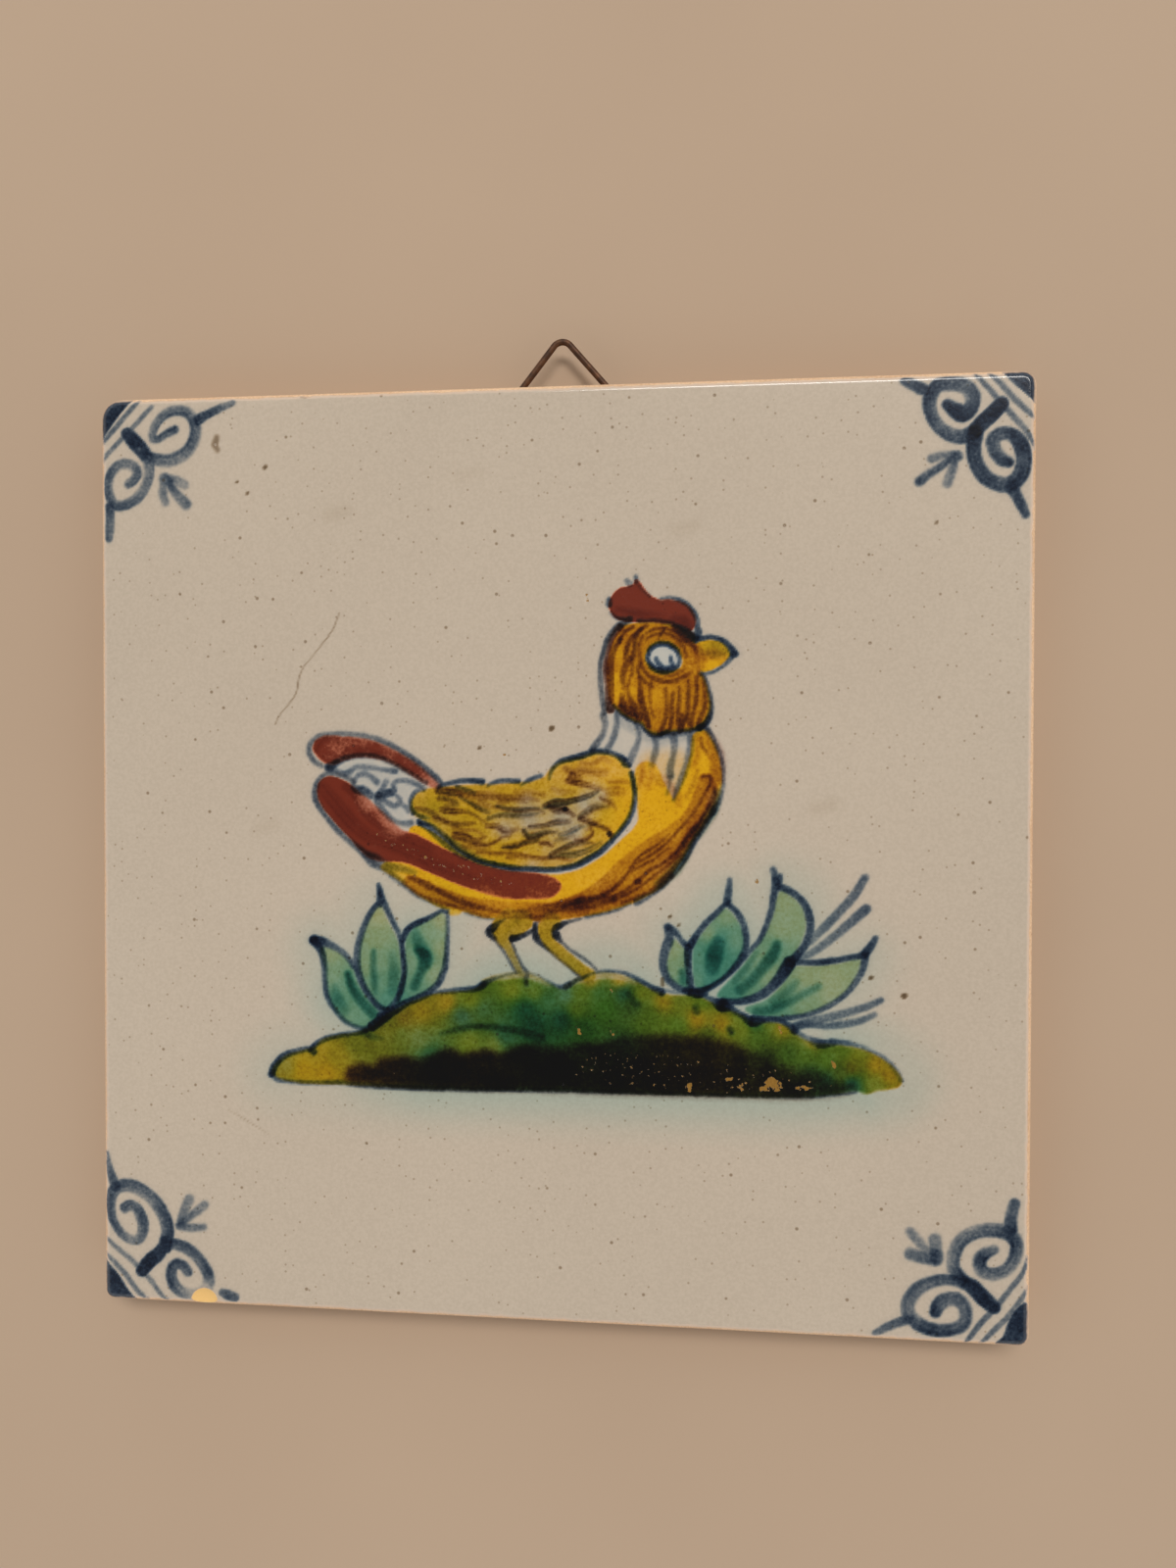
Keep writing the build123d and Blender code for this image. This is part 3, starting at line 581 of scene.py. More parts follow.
brown_lines = (
    ([(21.2, 11.1), (22.2, 11.1), (22.2, 10), (21.4, 8.6), (20.4, 6.8), (19, 5), (17.4, 3.2), (15.6, 1.4), (13.6, 0),
      (12, -0.9), (11, -2.2), (9.8, -3.6), (8.4, -4.8), (6, -5.8)],
     (0.25, 0.3, 0.35, 0.3, 0.3, 0.35, 0.5), (0.9, 1, 0.6, 0.9, 0.8, 1, 1.4)),
    ([(23, 9.4), (22.2, 7.4), (21, 5.2), (19.4, 3), (17.6, 0.8), (15.8, -0.8), (14.2, -1.6), (12.6, -3), (11, -4.4),
      (9, -5.4)],
     (0.4, 0.35, 0.3, 0.4, 0.3), (0.7, 0.9, 1.1, 0.7, 0.9)),
    ([(16.6, 3.2), (14.8, 1.6), (12.9, 0.4), (11.8, -0.8)], (0.2, 0.3, 0.2), (0.5, 1, 0.6)),
    ([(16.6, 1.4), (14.6, -0.2), (12.8, -1.2), (11.6, -1.9)], (0.2, 0.25, 0.2), (0.5, 0.9, 0.6)),
    ([(18.6, 1.8), (17, -0.6), (15.4, -1.9), (13.4, -3.4), (11.4, -4.8), (9, -5.9)], (0.5, 0.3, 0.3, 0.4),
     (0.9, 0.7, 0.8, 0.9)),
    ([(20.4, 4.4), (19.4, 3), (18.8, 2.2)], 0.7, 0.9),
    ([(16.8, -2.4), (15.6, -3.6), (14, -4.6), (12.4, -5.4), (10.4, -6.2)], (0.8, 0.5, 0.4, 0.4), (1.3, 0.7, 0.6, 0.6)),
    ([(9, -5.6), (6.4, -6.3), (3.6, -6.6), (0.6, -7), (-2.4, -7.4), (-5, -7.6)],
     (0.8, 1.1, 1.3, 1.1, 0.6, 0.3), (0.8, 1, 0.9, 0.8, 0.5, 0.3)),
    ([(6.6, -5.2), (4.4, -6), (2, -6.9)], (0.3, 0.6, 0.4), (0.6, 1, 0.6)),
    ([(-2.4, -8.2), (-1.4, -8.5), (-0.6, -8.2)], (0.5, 0.9, 0.5), (0.8, 1, 0.6)),
    ([(-19.6, -3.1), (-17.4, -3.9), (-15.2, -5), (-12.8, -6.2), (-10.4, -6.9), (-8, -7.4), (-5.6, -7.9)],
     (0.4, 0.7, 0.5, 0.6, 0.5, 0.3), (0.7, 1.2, 0.8, 1.1, 0.8, 0.5)),
    ([(-20.4, -3.9), (-18.2, -5.4), (-15.6, -6.4), (-13, -7.1), (-10.4, -7.9), (-8.4, -8.4)], (0.3, 0.4, 0.4, 0.3),
     (0.5, 0.7, 0.6, 0.7)),
    ([(12.6, -3.2), (12.3, -3.3)], 0.5, 2),
    ([(19, 8.2), (20, 10.2), (20.6, 12)], (0.3, 0.6, 0.4), (0.2, 0.3, 0.2)),
    ([(15, 11), (15.8, 10.2)], 0.9, 0.2), ([(21, 16.4), (21.2, 15.2), (21.8, 14.4)], 0.3, 0.7),
)
strokes(manganese, brown_lines, wider=1.2, fuller=0.8, soft=0.4)
strokes(ochre, brown_lines, wider=1.8, fuller=0.6, soft=0.5)
strokes(ochre, (
    ([(21.8, 17), (22.7, 15.2), (23.2, 13), (23.3, 11)], (1.2, 2, 1.8), (1, 1.6, 1.6)),
    ([(12.9, 12.8), (13, 11.4), (12.6, 9.8)], (0.6, 0.8, 0.5), (1, 1.2, 0.6)),
    ([(14.4, 13), (14.2, 11.2), (13.8, 9.6)], 0.6, 0.7),
    ([(16.4, 11), (17.4, 9), (18.2, 7.4)], (0.6, 1.2, 0.6), (0.8, 1, 0.5)),
    ([(20.3, 16.8), (20.6, 14.8), (20.2, 12.8)], 0.8, 0.8),
), soft=1.0)
for points, width, load in (
    ([(23.2, 9), (22.8, 7), (21.8, 5.2), (20.6, 3.2)], (0.9, 1.4, 1), (0.35, 0.5, 0.3)),
    ([(19.4, 1.6), (18.4, -0.4), (17, -2.2), (15.4, -3.6)], (0.9, 1.4, 1.2), (0.3, 0.6, 0.4)),
):
    stroke(manganese, points, width, load, soft=0.9, hairs=0.8)
    stroke(copper, points, width, load, soft=0.9)

legs = (
    ([(-5.4, -8.6), (-6.6, -9.8), (-6.5, -11.2), (-5.6, -12.6), (-4.9, -14), (-4.2, -15.4), (-3.6, -16.6)],
     (2.8, 2.4, 1.7, 1.1, 0.9, 0.9, 0.9), (1.5, 1.7, 1.2, 0.7, 0.5, 0.5)),
    ([(-3.6, -8.8), (-4.6, -10), (-5.6, -10.8)], (3, 2.2, 1), (1.6, 1.4, 1)),
    ([(0.4, -8.8), (-0.4, -10.2), (0.2, -11.8), (1.6, -13.1), (3.2, -14.4), (4.8, -15.6), (5.8, -16.4)],
     (2.6, 1.9, 1.5, 1.6, 1.5, 1.4, 1.8), (1.4, 1.7, 1.6, 1.5, 1.6, 1.4)),
)
strokes(yellow, legs, soft=0.4)
for points, width, load in legs:
    stroke(blue, points, width, 0.28, soft=0.6)
leg_lines = (
    ([(-6, -8.7), (-7, -9.3), (-7.8, -10), (-8.2, -10.6), (-7.5, -11.4)], (0.35, 0.6, 1.1, 1, 0.6),
     (0.8, 1.1, 2, 1.9, 1)),
    ([(-7.5, -11.4), (-6.6, -12.6), (-5.7, -14), (-4.9, -15.4), (-4.4, -16.2)], (0.5, 0.35, 0.35, 0.4),
     (0.9, 0.7, 0.7, 0.8)),
    ([(-1.9, -10.1), (-3, -10.7), (-4.2, -11.2), (-5, -11.4)], (0.4, 0.6, 0.8, 0.9), (1.2, 1.5, 2, 2.2)),
    ([(-5.2, -11.5), (-4.7, -12.9), (-4.1, -14.2), (-3.4, -15.4), (-2.9, -16.2), (-3.2, -17.2), (-3, -17.8)],
     (0.4, 0.35, 0.4, 0.6, 0.6), (1, 0.7, 0.9, 1, 0.9)),
    ([(-1.8, -9.4), (-1.8, -10.6), (-1.4, -11.6), (-0.2, -12.6), (1.2, -13.8), (2.8, -15), (4.2, -16.2), (4.9, -16.6)],
     (0.6, 0.9, 0.6, 0.4, 0.45, 0.4), (1.6, 2, 1.1, 0.8, 0.8, 0.8)),
    ([(4.6, -8.5), (2.8, -9), (1.4, -9.6), (0.9, -9.9), (1.1, -10.8), (1.8, -11.6)], (0.35, 0.4, 0.9, 0.6, 1.1, 0.5),
     (0.8, 1, 2.2, 1.2, 2.1, 1)),
    ([(1.8, -11.7), (3, -12.7), (4.6, -13.7), (5.8, -14.6), (6.7, -15.5)], (0.4, 0.4, 0.4, 0.35), (0.8, 0.8, 0.9, 0.8)),
)
strokes(blue, leg_lines, fuller=0.75, soft=0.35)
strokes(manganese, leg_lines, fuller=0.3, soft=0.35)

contours = (
    ([(21.6, 18), (22.4, 16.8), (23.1, 15.2), (23.8, 13.4), (24.1, 11.4), (23.9, 9.4), (23.3, 7.6), (22.6, 6.2)],
     (0.6, 0.5, 0.45, 0.4, 0.4, 0.45, 0.6, 0.7), (1, 0.9, 0.8, 0.7, 0.55, 0.6, 0.9, 1.3)),
    ([(22.8, 6.4), (21.6, 4.6), (20.4, 2.8), (19.2, 0.6), (18.2, -1), (17, -2.6), (15.6, -4), (14.2, -5), (12.4, -6)],
     (0.5, 0.6, 0.6, 0.5, 0.5, 0.6, 0.5, 0.9), (1.2, 0.8, 1.3, 1.1, 0.7, 0.9, 0.7, 0.75)),
    ([(11.4, -6.3), (9.4, -7.2), (7.2, -7.8), (5.2, -8.3)], (0.3, 0.35, 0.3), (0.6, 0.7, 0.8)),
    ([(7.6, 19.6), (7.9, 18.2), (7.6, 17), (6.8, 15.8), (6.2, 14.8)], (0.6, 0.45, 0.5, 0.6), (0.7, 0.65, 0.8, 1.2)),
    ([(9.5, 20), (9.5, 18.4), (9.2, 16.9), (8.6, 15.6), (8, 14.6)], (0.4, 0.5, 0.55, 0.5), (0.9, 0.7, 0.65, 0.9)),
    ([(12.2, 18.4), (12.6, 17), (12.3, 15.6), (11.7, 14.2), (11.3, 13.2)], (0.5, 0.45, 0.6, 0.6),
     (0.9, 0.6, 0.55, 0.7)),
    ([(14.7, 16.7), (14.9, 15.4), (14.7, 14.2), (14.3, 12.8)], (0.7, 0.5, 0.6, 0.5), (0.8, 0.6, 0.6, 0.4)),
    ([(17.2, 16.8), (17.4, 15.4), (17.1, 13.6), (16.8, 12.2), (16.9, 11.2)], (0.8, 0.5, 0.6, 0.6),
     (0.9, 0.6, 0.65, 0.9)),
    ([(16.9, 11.2), (16.7, 10), (16.4, 8.8)], (0.4, 0.3), (0.5, 0.3)),
    ([(19.4, 17), (19.6, 15.6), (19.3, 13.8), (18.9, 12.2), (18.4, 10.8), (17.8, 9.4), (17.3, 8)],
     (0.5, 0.6, 0.55, 0.6, 0.5, 0.3), (0.8, 0.6, 0.55, 0.7, 0.8, 0.6)),
    ([(13.8, 17.2), (15, 16.6), (16.4, 16.9), (18, 17.1), (19.6, 17.3)], (0.4, 0.5, 0.7, 0.6), (0.7, 0.8, 0.8, 0.8)),
    ([(-7.4, -8.8), (-9.4, -8.5), (-11.6, -7.9)], 0.25, 0.5),
    ([(-14, -7.5), (-16.4, -6.6), (-18.6, -5.5), (-20.4, -4.2), (-22.2, -2.9)], (0.3, 0.35, 0.5), (0.5, 0.6, 0.6)),
)
for points, width, load in contours:
    neck = points[0][1] > 16.0 and points[0][0] < 20.0
    stroke(blue, points, np.array(width) * (1.6 if neck else 1.2), np.array(load) * (0.8 if neck else 1), soft=0.5)
strokes(manganese, contours, fuller=0.15, soft=0.4)
stroke(blue, [(9.8, 19), (11.6, 18), (13.6, 16.8), (15.2, 16.2), (17, 16.6), (19.6, 16.9)], 1.6, 0.16, soft=1.2)
print("touches with the body:", len(marks))

# %% [markdown]
# ## The tail
#
# The tail is two long red feathers with loose grey curls between them. The red
# is an opaque wash, so it is laid as an outline with pools, and a few darker
# pulls along it show which way the brush went.

# %% The tail
wash(red, [(-33.4, 15), (-33, 16.1), (-31.4, 16.7), (-29.4, 16.6), (-27, 16.4), (-24.4, 15.8), (-21.8, 14.7),
           (-19.4, 13.3), (-17.2, 11.7), (-15.6, 10.3), (-15.2, 9.5), (-16.2, 9.5), (-17.8, 10.4), (-19.8, 11.7),
           (-21.8, 12.9), (-24, 13.6), (-26.6, 13.8), (-28.8, 13.4), (-30.4, 12.8), (-31.8, 13.1), (-32.8, 14)],
     soft=0.5, pools=[(-32.4, 15, 2.6), (-30.4, 15.3, 1.6), (-31, 14, 2.4), (-29, 15.8, 1.7), (-27.6, 14.8, 2.4),
                      (-26, 16, 1.5), (-24.6, 14.4, 2.4), (-22.6, 15, 1.5), (-19, 12.4, 2.3), (-15.8, 9.9, 1)])
wash(red, [(-32.8, 8.9), (-32.5, 10.2), (-31.4, 10.9), (-30, 10.7), (-28.6, 10.1), (-27.2, 9), (-25.8, 8.2),
           (-24.8, 7.2), (-23.2, 5.8), (-21.8, 4.6), (-20.6, 3.5), (-19, 3), (-16.8, 1.9), (-14.6, 0.8),
           (-12.2, -0.2), (-9.4, -1.3), (-6, -2), (-2, -2.3), (0.4, -2.8), (1.6, -3.6), (1.6, -4.6),
           (0.4, -5.5), (-2.4, -5.8), (-6.8, -5.6), (-11, -4.4), (-15.2, -2.8), (-19.3, -1.2), (-21.6, -0.8),
           (-23.6, -0.8), (-25.6, -0.1), (-28.5, 2.8), (-30.6, 5.1), (-32.2, 7)],
     soft=0.45, pools=[(-31, 9, 4), (-29, 6.4, 4), (-26, 3, 4), (-20, 1, 4), (-14, -1.6, 3.6),
                       (-8, -3, 3.2), (-3, -3.8, 2.6), (0.6, -4.2, 2), (-22.2, 4.6, 0.8), (-21, 3.9, 0.7),
                       (-25.4, 7.6, 0.9), (-8, -5, 1.8), (-2, -5.4, 1.8), (-24.6, 0.4, 2.6)])
stroke(white, [(-26.9, 8.6), (-25.6, 7), (-24.2, 5.9), (-22.8, 5), (-21.6, 4), (-20.4, 3.4)],
       (0.3, 0.6, 0.4, 0.5, 0.7), (0.15, 0.2, 0.1, 0.3, 0.4), soft=0.6)
wash(white, [(-31.4, 12), (-28.6, 13.3), (-25.6, 13.6), (-22.4, 12.6), (-18.6, 10.4), (-18, 9.6), (-19.4, 8.6),
             (-19.8, 6.4),
             (-19.4, 4.2), (-21.2, 4.8), (-23.8, 6.8), (-26.4, 9), (-28, 11)], 0.9, soft=0.8)
wash(blue, [(-30.4, 12), (-26, 13.2), (-22.4, 12.2), (-19, 10), (-20.4, 6.4), (-20.6, 4.9), (-23.4, 6.9), (-26.4, 9.6)],
     0.07, soft=1.6)
tail_shades = (  # darker pulls along the two feathers
    ([(-32, 9.4), (-30.4, 7.4), (-28, 4.6), (-25.4, 2.6), (-22.4, 1.6), (-18.6, 0.2), (-14.6, -1.6), (-10.8, -3),
      (-7, -3.6)],
     (1.6, 2.4, 1.8, 2.2, 1.6, 1.2), (0.5, 0.6, 0.45, 0.5, 0.4, 0.2)),
    ([(-28.6, 9.6), (-27.2, 8.2), (-25.4, 5.4), (-22.8, 3.4), (-19.6, 2.2), (-16.4, 0.8)], (1.2, 1, 0.8, 0.9, 0.8),
     (0.8, 0.9, 0.6, 0.5, 0.4)),
    ([(-28.8, 13.9), (-26.6, 14.5), (-24.2, 14), (-22, 13.2), (-20, 12), (-18, 10.8)], (0.9, 1.2, 0.9, 1, 0.8),
     (0.5, 0.55, 0.5, 0.6, 0.5)),
    ([(-33, 14.6), (-32.2, 15.9), (-30.8, 16.3), (-29.4, 15.8), (-28.8, 14.8), (-29.8, 14), (-31.4, 13.8)], 0.7,
     (0.5, 0.4, 0.5, 0.3)),
)
strokes(manganese, tail_shades, fuller=0.4, soft=0.9, hairs=0.5)
tail_lines = (
    ([(-32.2, 12.5), (-33.4, 13.3), (-34, 14.4), (-33.9, 15.6), (-32.8, 16.6), (-31, 17), (-28.6, 17), (-26.2, 16.7),
      (-23.8, 16.1), (-21.4, 15), (-19.2, 13.6), (-17.2, 12.1), (-15.8, 10.9), (-15.2, 10.2)],
     (0.5, 0.6, 0.5, 0.5, 0.6, 0.5, 0.6, 0.5), (0.6, 0.7, 0.55, 0.6, 0.6, 0.9, 1.1, 1.2)),
    ([(-31.2, 12.2), (-29.8, 13.1), (-28.2, 13.7), (-26, 13.9), (-24, 13.7), (-22.2, 13), (-20.2, 11.9), (-18.4, 10.9),
      (-17.2, 10.2)],
     (0.8, 0.5, 0.4, 0.4), (1.2, 0.9, 0.8, 0.9)),
    ([(-31.2, 12.3), (-30, 11.7), (-28.8, 11.4), (-28, 11.8), (-27.2, 12.3), (-25.4, 12.3), (-23.4, 12), (-21.6, 11.8)],
     (0.9, 0.6, 0.7, 0.5, 0.6, 0.5, 0.6), (1.3, 0.6, 0.7, 0.5, 0.6, 0.5, 0.9)),
    ([(-27.4, 10.6), (-27, 11.2), (-26, 11.4), (-25, 11), (-24.2, 10.2)], (0.4, 0.6, 0.6, 0.7), (0.5, 0.6, 0.6, 0.7)),
    ([(-27.5, 10.6), (-27.6, 9.6), (-27, 9.2), (-26, 9), (-25.2, 8.4)], (0.4, 0.7, 1, 0.8), (0.6, 0.9, 1.4, 1)),
    ([(-24, 8.4), (-23.4, 9.3), (-22.9, 10.3)], (0.8, 0.6, 0.6), (1, 0.6, 0.5)),
    ([(-24, 8.3), (-22.6, 8.7), (-21.8, 8.9), (-21.9, 9.9), (-21.2, 10.4), (-20, 10.4), (-18.6, 10), (-17.6, 9.4)],
     (0.9, 0.8, 0.5, 0.5, 0.6, 0.5), (1.2, 1.3, 0.7, 0.6, 0.7, 0.9)),
    ([(-23.8, 8), (-22.6, 7.3), (-21.6, 6.9), (-20.9, 7.6), (-21.4, 8.3)], (0.6, 0.6, 0.4), (0.8, 0.6, 0.7)),
    ([(-21.2, 7.4), (-20.3, 6.9), (-19.7, 6.2)], 0.5, 0.5),
    ([(-24.2, 8.2), (-23.9, 7), (-23, 5.9), (-22, 5), (-20.8, 4.5), (-19.4, 4.5)], (0.9, 0.7, 0.6, 0.5, 0.7),
     (1.1, 0.7, 0.7, 0.5, 0.7)),
    ([(-27.4, 10.3), (-28.8, 11), (-30.4, 11.4), (-31.8, 11.3), (-32.8, 10.4), (-33.2, 9), (-33, 7.6), (-32, 5.9),
      (-30.4, 4), (-28.6, 2.2), (-26.8, 0.8), (-25.4, -0.4)],
     (0.5, 0.6, 0.5, 0.5, 0.6, 0.6, 0.5, 0.6, 0.7, 0.9), (0.7, 0.6, 0.6, 0.7, 1.1, 1.3, 0.9, 0.7, 0.7, 0.9)),
    ([(-25.8, 0), (-24.6, -0.8), (-23.2, -1.5), (-21.2, -1.8), (-18.8, -2.4)], (0.9, 1.5, 1.1, 0.8, 0.5),
     (0.8, 1, 0.6, 0.5, 0.3)),
    ([(-24.8, -0.9), (-23.2, -1.9), (-21.6, -3), (-20.6, -3.9)], (0.6, 0.7, 0.7), (0.6, 0.5, 0.4)),
)
strokes(blue, tail_lines, wider=1.3, fuller=0.95, soft=0.5)
strokes(manganese, tail_lines, fuller=0.12, soft=0.5)
print("touches with the tail:", len(marks))

# %% [markdown]
# ## The wing
#
# The wing is a yellow field crossed by short pulls of whatever was still in the
# brush: grey, purple and brown, each a dab with a heavy start and a dry end. So
# each row below holds one path and the share of every pigment in it.

# %% The wing
wing_edge = [
    (-19.2, 7.6), (-18.2, 8.8), (-16.2, 9.4), (-13.6, 9.6), (-10.6, 9.9), (-7.6, 9.9), (-5, 10.1), (-2.6, 10.3),
    (-0.6, 10.9), (0.4, 12.2), (2, 13.2), (4.2, 13.7), (6.4, 14.4), (8.6, 14.2), (10.2, 13.4), (11.3, 12.2),
    (11.8, 10.4), (11.8, 8), (11.2, 5.8), (9.8, 3.6), (8, 1.8), (6, 0.2), (3.6, -1), (0.6, -1.6),
    (-3, -1.5), (-7, -1.2), (-10, -0.4), (-12.4, 0.8), (-14.4, 2.4), (-16.2, 4), (-18, 5.2), (-19.2, 6.2)]
wash(yellow, wing_edge, soft=0.6, pools=[
    (-18, 7.2, 1.3), (-15.6, 8, 2), (-13, 8, 1.6), (-11, 6, 2), (-12.6, 4.4, 1.4), (-14, 2.6, 1.2),
    (-9, 7.4, 1), (-9.6, 1.2, 1.4), (-7.6, 0.2, 2.2), (-4.6, 1.2, 2), (-2, 0.6, 1.4), (-6, 3.6, 0.2),
    (-2.6, 5, 0.15), (-1, 9.6, 1.3), (-3, 7.4, 0.3), (-5, 9.4, 1.6), (1.6, 11.6, 1), (3, 9.2, 1.3),
    (2, 5.6, 0.12), (5, 7.4, 0.12), (7, 8.2, 0.25), (6, 13.4, 1), (9.6, 12.2, 1.1), (9.8, 9.4, 1.8), (10.6, 6.6, 2),
    (8.6, 5.4, 2), (6.8, 2.6, 1.2), (4, 0.6, 0.7), (0, 0.8, 0.7), (-2, -1, 0.4), (3.6, 3.4, 0.15)])
wash(blue, wing_edge, soft=0.6, pools=[
    (-16, 7, 0.2), (-12, 5, 0.14), (-6, 5, 0.13), (1, 5, 0.14), (7, 8, 0.12), (9, 12, 0.03), (10.4, 7, 0)])
stroke(copper, [(-16, 6.6), (-11, 4.4), (-4, 4.6), (2, 5.4), (7, 7)], (3, 6, 9, 9, 6), (0.1, 0.05, 0.06, 0.07, 0.08),
       soft=4.0)
wing_strokes = (  # points, width, and the loads of ochre, manganese and blue
    ([(-15.6, 9.1), (-13.8, 8.9), (-12.2, 8.6)], (0.7, 0.9, 0.6), 0.6, 1, 0.4),
    ([(-12.8, 9.5), (-11.6, 9.2), (-10.4, 8.8)], 0.6, 0, 0.3, 0.7),
    ([(-15.2, 8.1), (-13.6, 7.7), (-12.9, 7.2), (-14.4, 6.9)], 0.7, 0.4, 0.5, 0.3),
    ([(-15, 6.4), (-13.2, 6.2), (-11.8, 6.2)], (0.6, 0.7, 0.4), 0.5, 0.9, 0.2),
    ([(-18.6, 6.6), (-16.8, 6.2), (-15.6, 5.4), (-14.2, 4.8)], (0.4, 0.6, 0.5), 0.4, 0.5, 0.3),
    ([(-16, 5.2), (-14, 4.6), (-12.2, 4.4), (-10.4, 4.6)], (0.6, 0.5, 0.4), 0.2, 0.7, 0.2),
    ([(-12.4, 8.7), (-9.4, 8.4), (-6.4, 8.2), (-3.4, 8.2), (-1.4, 7.9)], (0.9, 1, 0.7, 0.5), 0.8, 0.45, 0),
    ([(-12.4, 8.2), (-10.6, 7.3), (-9.4, 6.6), (-8.3, 6.1)], (0.4, 0.6, 0.5), 0.3, 0.6, 0.5),
    ([(-9.6, 7.6), (-8.4, 7), (-7.4, 6.8)], 0.5, 0.5, 0.3, 0),
    ([(-7.2, 6.9), (-5.4, 6.5), (-3.6, 6.4), (-1.6, 6.6), (-0.6, 6.2)], (0.5, 0.7, 0.6, 0.4), 0.3, 0.5, 0.4),
    ([(-7, 7.4), (-5, 7.8), (-3, 7.6)], 0.35, 0.6, 0.5, 0),
    ([(-8.4, 5.2), (-6.6, 5.7), (-4.6, 5.6), (-2.6, 5.7), (-1.2, 6)], (0.5, 0.6, 0.7, 0.4), 0, 0.3, 0.45),
    ([(-11.4, 6.2), (-10, 5.6), (-8.6, 4.4)], 0.4, 0.3, 0.4, 0.2),
    ([(-8.6, 4.2), (-7.2, 4.1), (-5.9, 3.5), (-4.3, 3.8)], (0.4, 0.6, 0.7, 0.4), 0.2, 0.8, 0.1),
    ([(-13, 2.9), (-11.6, 2.6), (-10.2, 2.2), (-8.8, 2.6)], (0.9, 1, 0.6, 0.4), 0.8, 0.8, 0.1),
    ([(-13.4, 4), (-12, 3.6), (-10.4, 3.6), (-9.2, 3)], (0.5, 0.4), 0.6, 0.4, 0),
    ([(-10.2, 1.9), (-8.8, 1.6), (-7.4, 2), (-6.4, 2.7), (-5.4, 2.9)], (0.6, 0.4, 0.4), 0.4, 0.7, 0.1),
    ([(-11.8, 1.4), (-9.8, 1.4), (-8, 1.1)], (0.6, 0.8, 0.4), 0.8, 0.3, 0),
    ([(-9.8, 0.6), (-7.2, 0.4), (-4.6, 0.5), (-1.6, -0.1)], (0.5, 0.6, 0.5, 0.3), 0.9, 0.35, 0),
    ([(-6.2, 1.3), (-4.6, 1.5), (-3, 2), (-1.4, 2.2)], (0.4, 0.7, 0.6, 0.3), 0.3, 1, 0.4),
    ([(-5.6, -0.1), (-3.6, 0), (-1.4, -0.2)], 0.5, 0.9, 0.4, 0),
    ([(-15.4, 3.5), (-13.6, 2), (-11.6, 0.7), (-9.4, -0.3)], (0.6, 0.9, 0.7), 0.1, 0.1, 0.4),
    ([(-1, 1.9), (0, 1.9), (0.5, 1.6)], 0.5, 0.8, 0.9, 0),
    ([(-0.4, 7), (0.8, 7.5), (2.4, 7.6), (4.2, 8), (5.8, 8.5), (7, 9.2)], (0.6, 1, 0.6, 0.6, 0.4), 0.1, 0.7, 0.7),
    ([(0.2, 7), (1.2, 6.5), (2.4, 6.5), (3.6, 5.7)], (0.6, 0.7, 0.6, 0.4), 0.2, 1, 0.3),
    ([(2.3, 6.7), (2.5, 6.6)], 0.4, 0.5, 3, 1),
    ([(4.4, 5.5), (5.4, 6.2), (6.6, 6.9), (8.2, 7)], (0.7, 0.9, 0.8, 0.5), 0.2, 0.5, 0.3),
    ([(4.6, 5.3), (5.8, 4.9), (7, 4.4), (8.4, 3.8)], (0.6, 0.6, 0.4, 0.5), 0.6, 1.1, 0.2),
    ([(8.5, 3.3), (8.8, 3)], 0.45, 0.5, 2.6, 1.2),
    ([(-2.6, 4.1), (-0.6, 4.3), (1.2, 4.8), (3, 4.9)], (0.4, 0.5, 0.7, 0.6), 0.1, 0.7, 0.4),
    ([(-3.4, 3.6), (-2.8, 2.8), (-1.6, 2.9), (-0.2, 3.4), (1.2, 3.4)], (0.6, 0.7, 0.9, 0.6, 0.3), 0, 0.7, 0.5),
    ([(1.6, 3), (3.2, 3.5), (4.6, 4.2), (5.8, 4.5)], (0.4, 0.6, 0.4), 0, 0.3, 0.5),
    ([(0.4, 0.4), (2, 1.1), (3.6, 1.8), (5.2, 2), (6.4, 1.8)], (0.5, 0.7, 0.6, 0.3), 0.3, 0.6, 0.4),
    ([(3.8, 2.4), (5.2, 2.5), (6.1, 3.2), (6, 4)], (0.4, 0.5, 0.3), 0.6, 0.7, 0),
    ([(0.2, 0), (2, 0.3), (4, 0.5), (5.8, 1.1), (7.4, 2)], (0.5, 0.7, 0.5), 0, 0.25, 0.5),
    ([(-1, -0.2), (1, -0.1), (3.2, -0.4)], (0.5, 0.4), 0.8, 0.5, 0),
    ([(2.6, 10.6), (4, 10.2), (5.6, 9.9), (7.4, 9.4)], (0.5, 0.6, 0.4), 0.5, 0.8, 0),
    ([(2.4, 12.2), (3.6, 11.5), (4.6, 11.9), (6, 11.7), (7.8, 11.7)], (0.7, 1.1, 0.8, 1), 0.7, 0.35, 0),
    ([(3.4, 11.4), (3.2, 10.6), (4.4, 10.8)], 0.8, 0.6, 0.6, 0),
    ([(4.6, 13), (6, 12.8), (7.4, 13.6), (8.4, 13.2)], 0.6, 0.6, 0.2, 0),
    ([(8.2, 9), (9.4, 9.2), (10.4, 9)], (1, 1.3, 0.8), 0.9, 0.15, 0),
    ([(8.6, 10.4), (10.2, 10.4), (11.2, 10.2)], 0.5, 0.8, 0.2, 0),
    ([(7.4, 8.2), (8.6, 7.6), (9.4, 6.8)], (0.5, 0.8, 0.4), 0.4, 0.5, 0),
    ([(0.6, 9.4), (2, 9), (3.6, 9)], (0.5, 0.8, 0.4), 0.6, 0.2, 0.1),
    ([(-0.6, 8.6), (-2.4, 8.9), (-4.6, 8.9)], 0.6, 0.7, 0.15, 0),
    ([(5.4, 3.8), (6.4, 4.6), (7.2, 5)], 0.3, 0.3, 0.6, 0),
    ([(1, 2.2), (2.6, 2.6), (3.6, 3)], 0.4, 0.2, 0.3, 0.3),
)
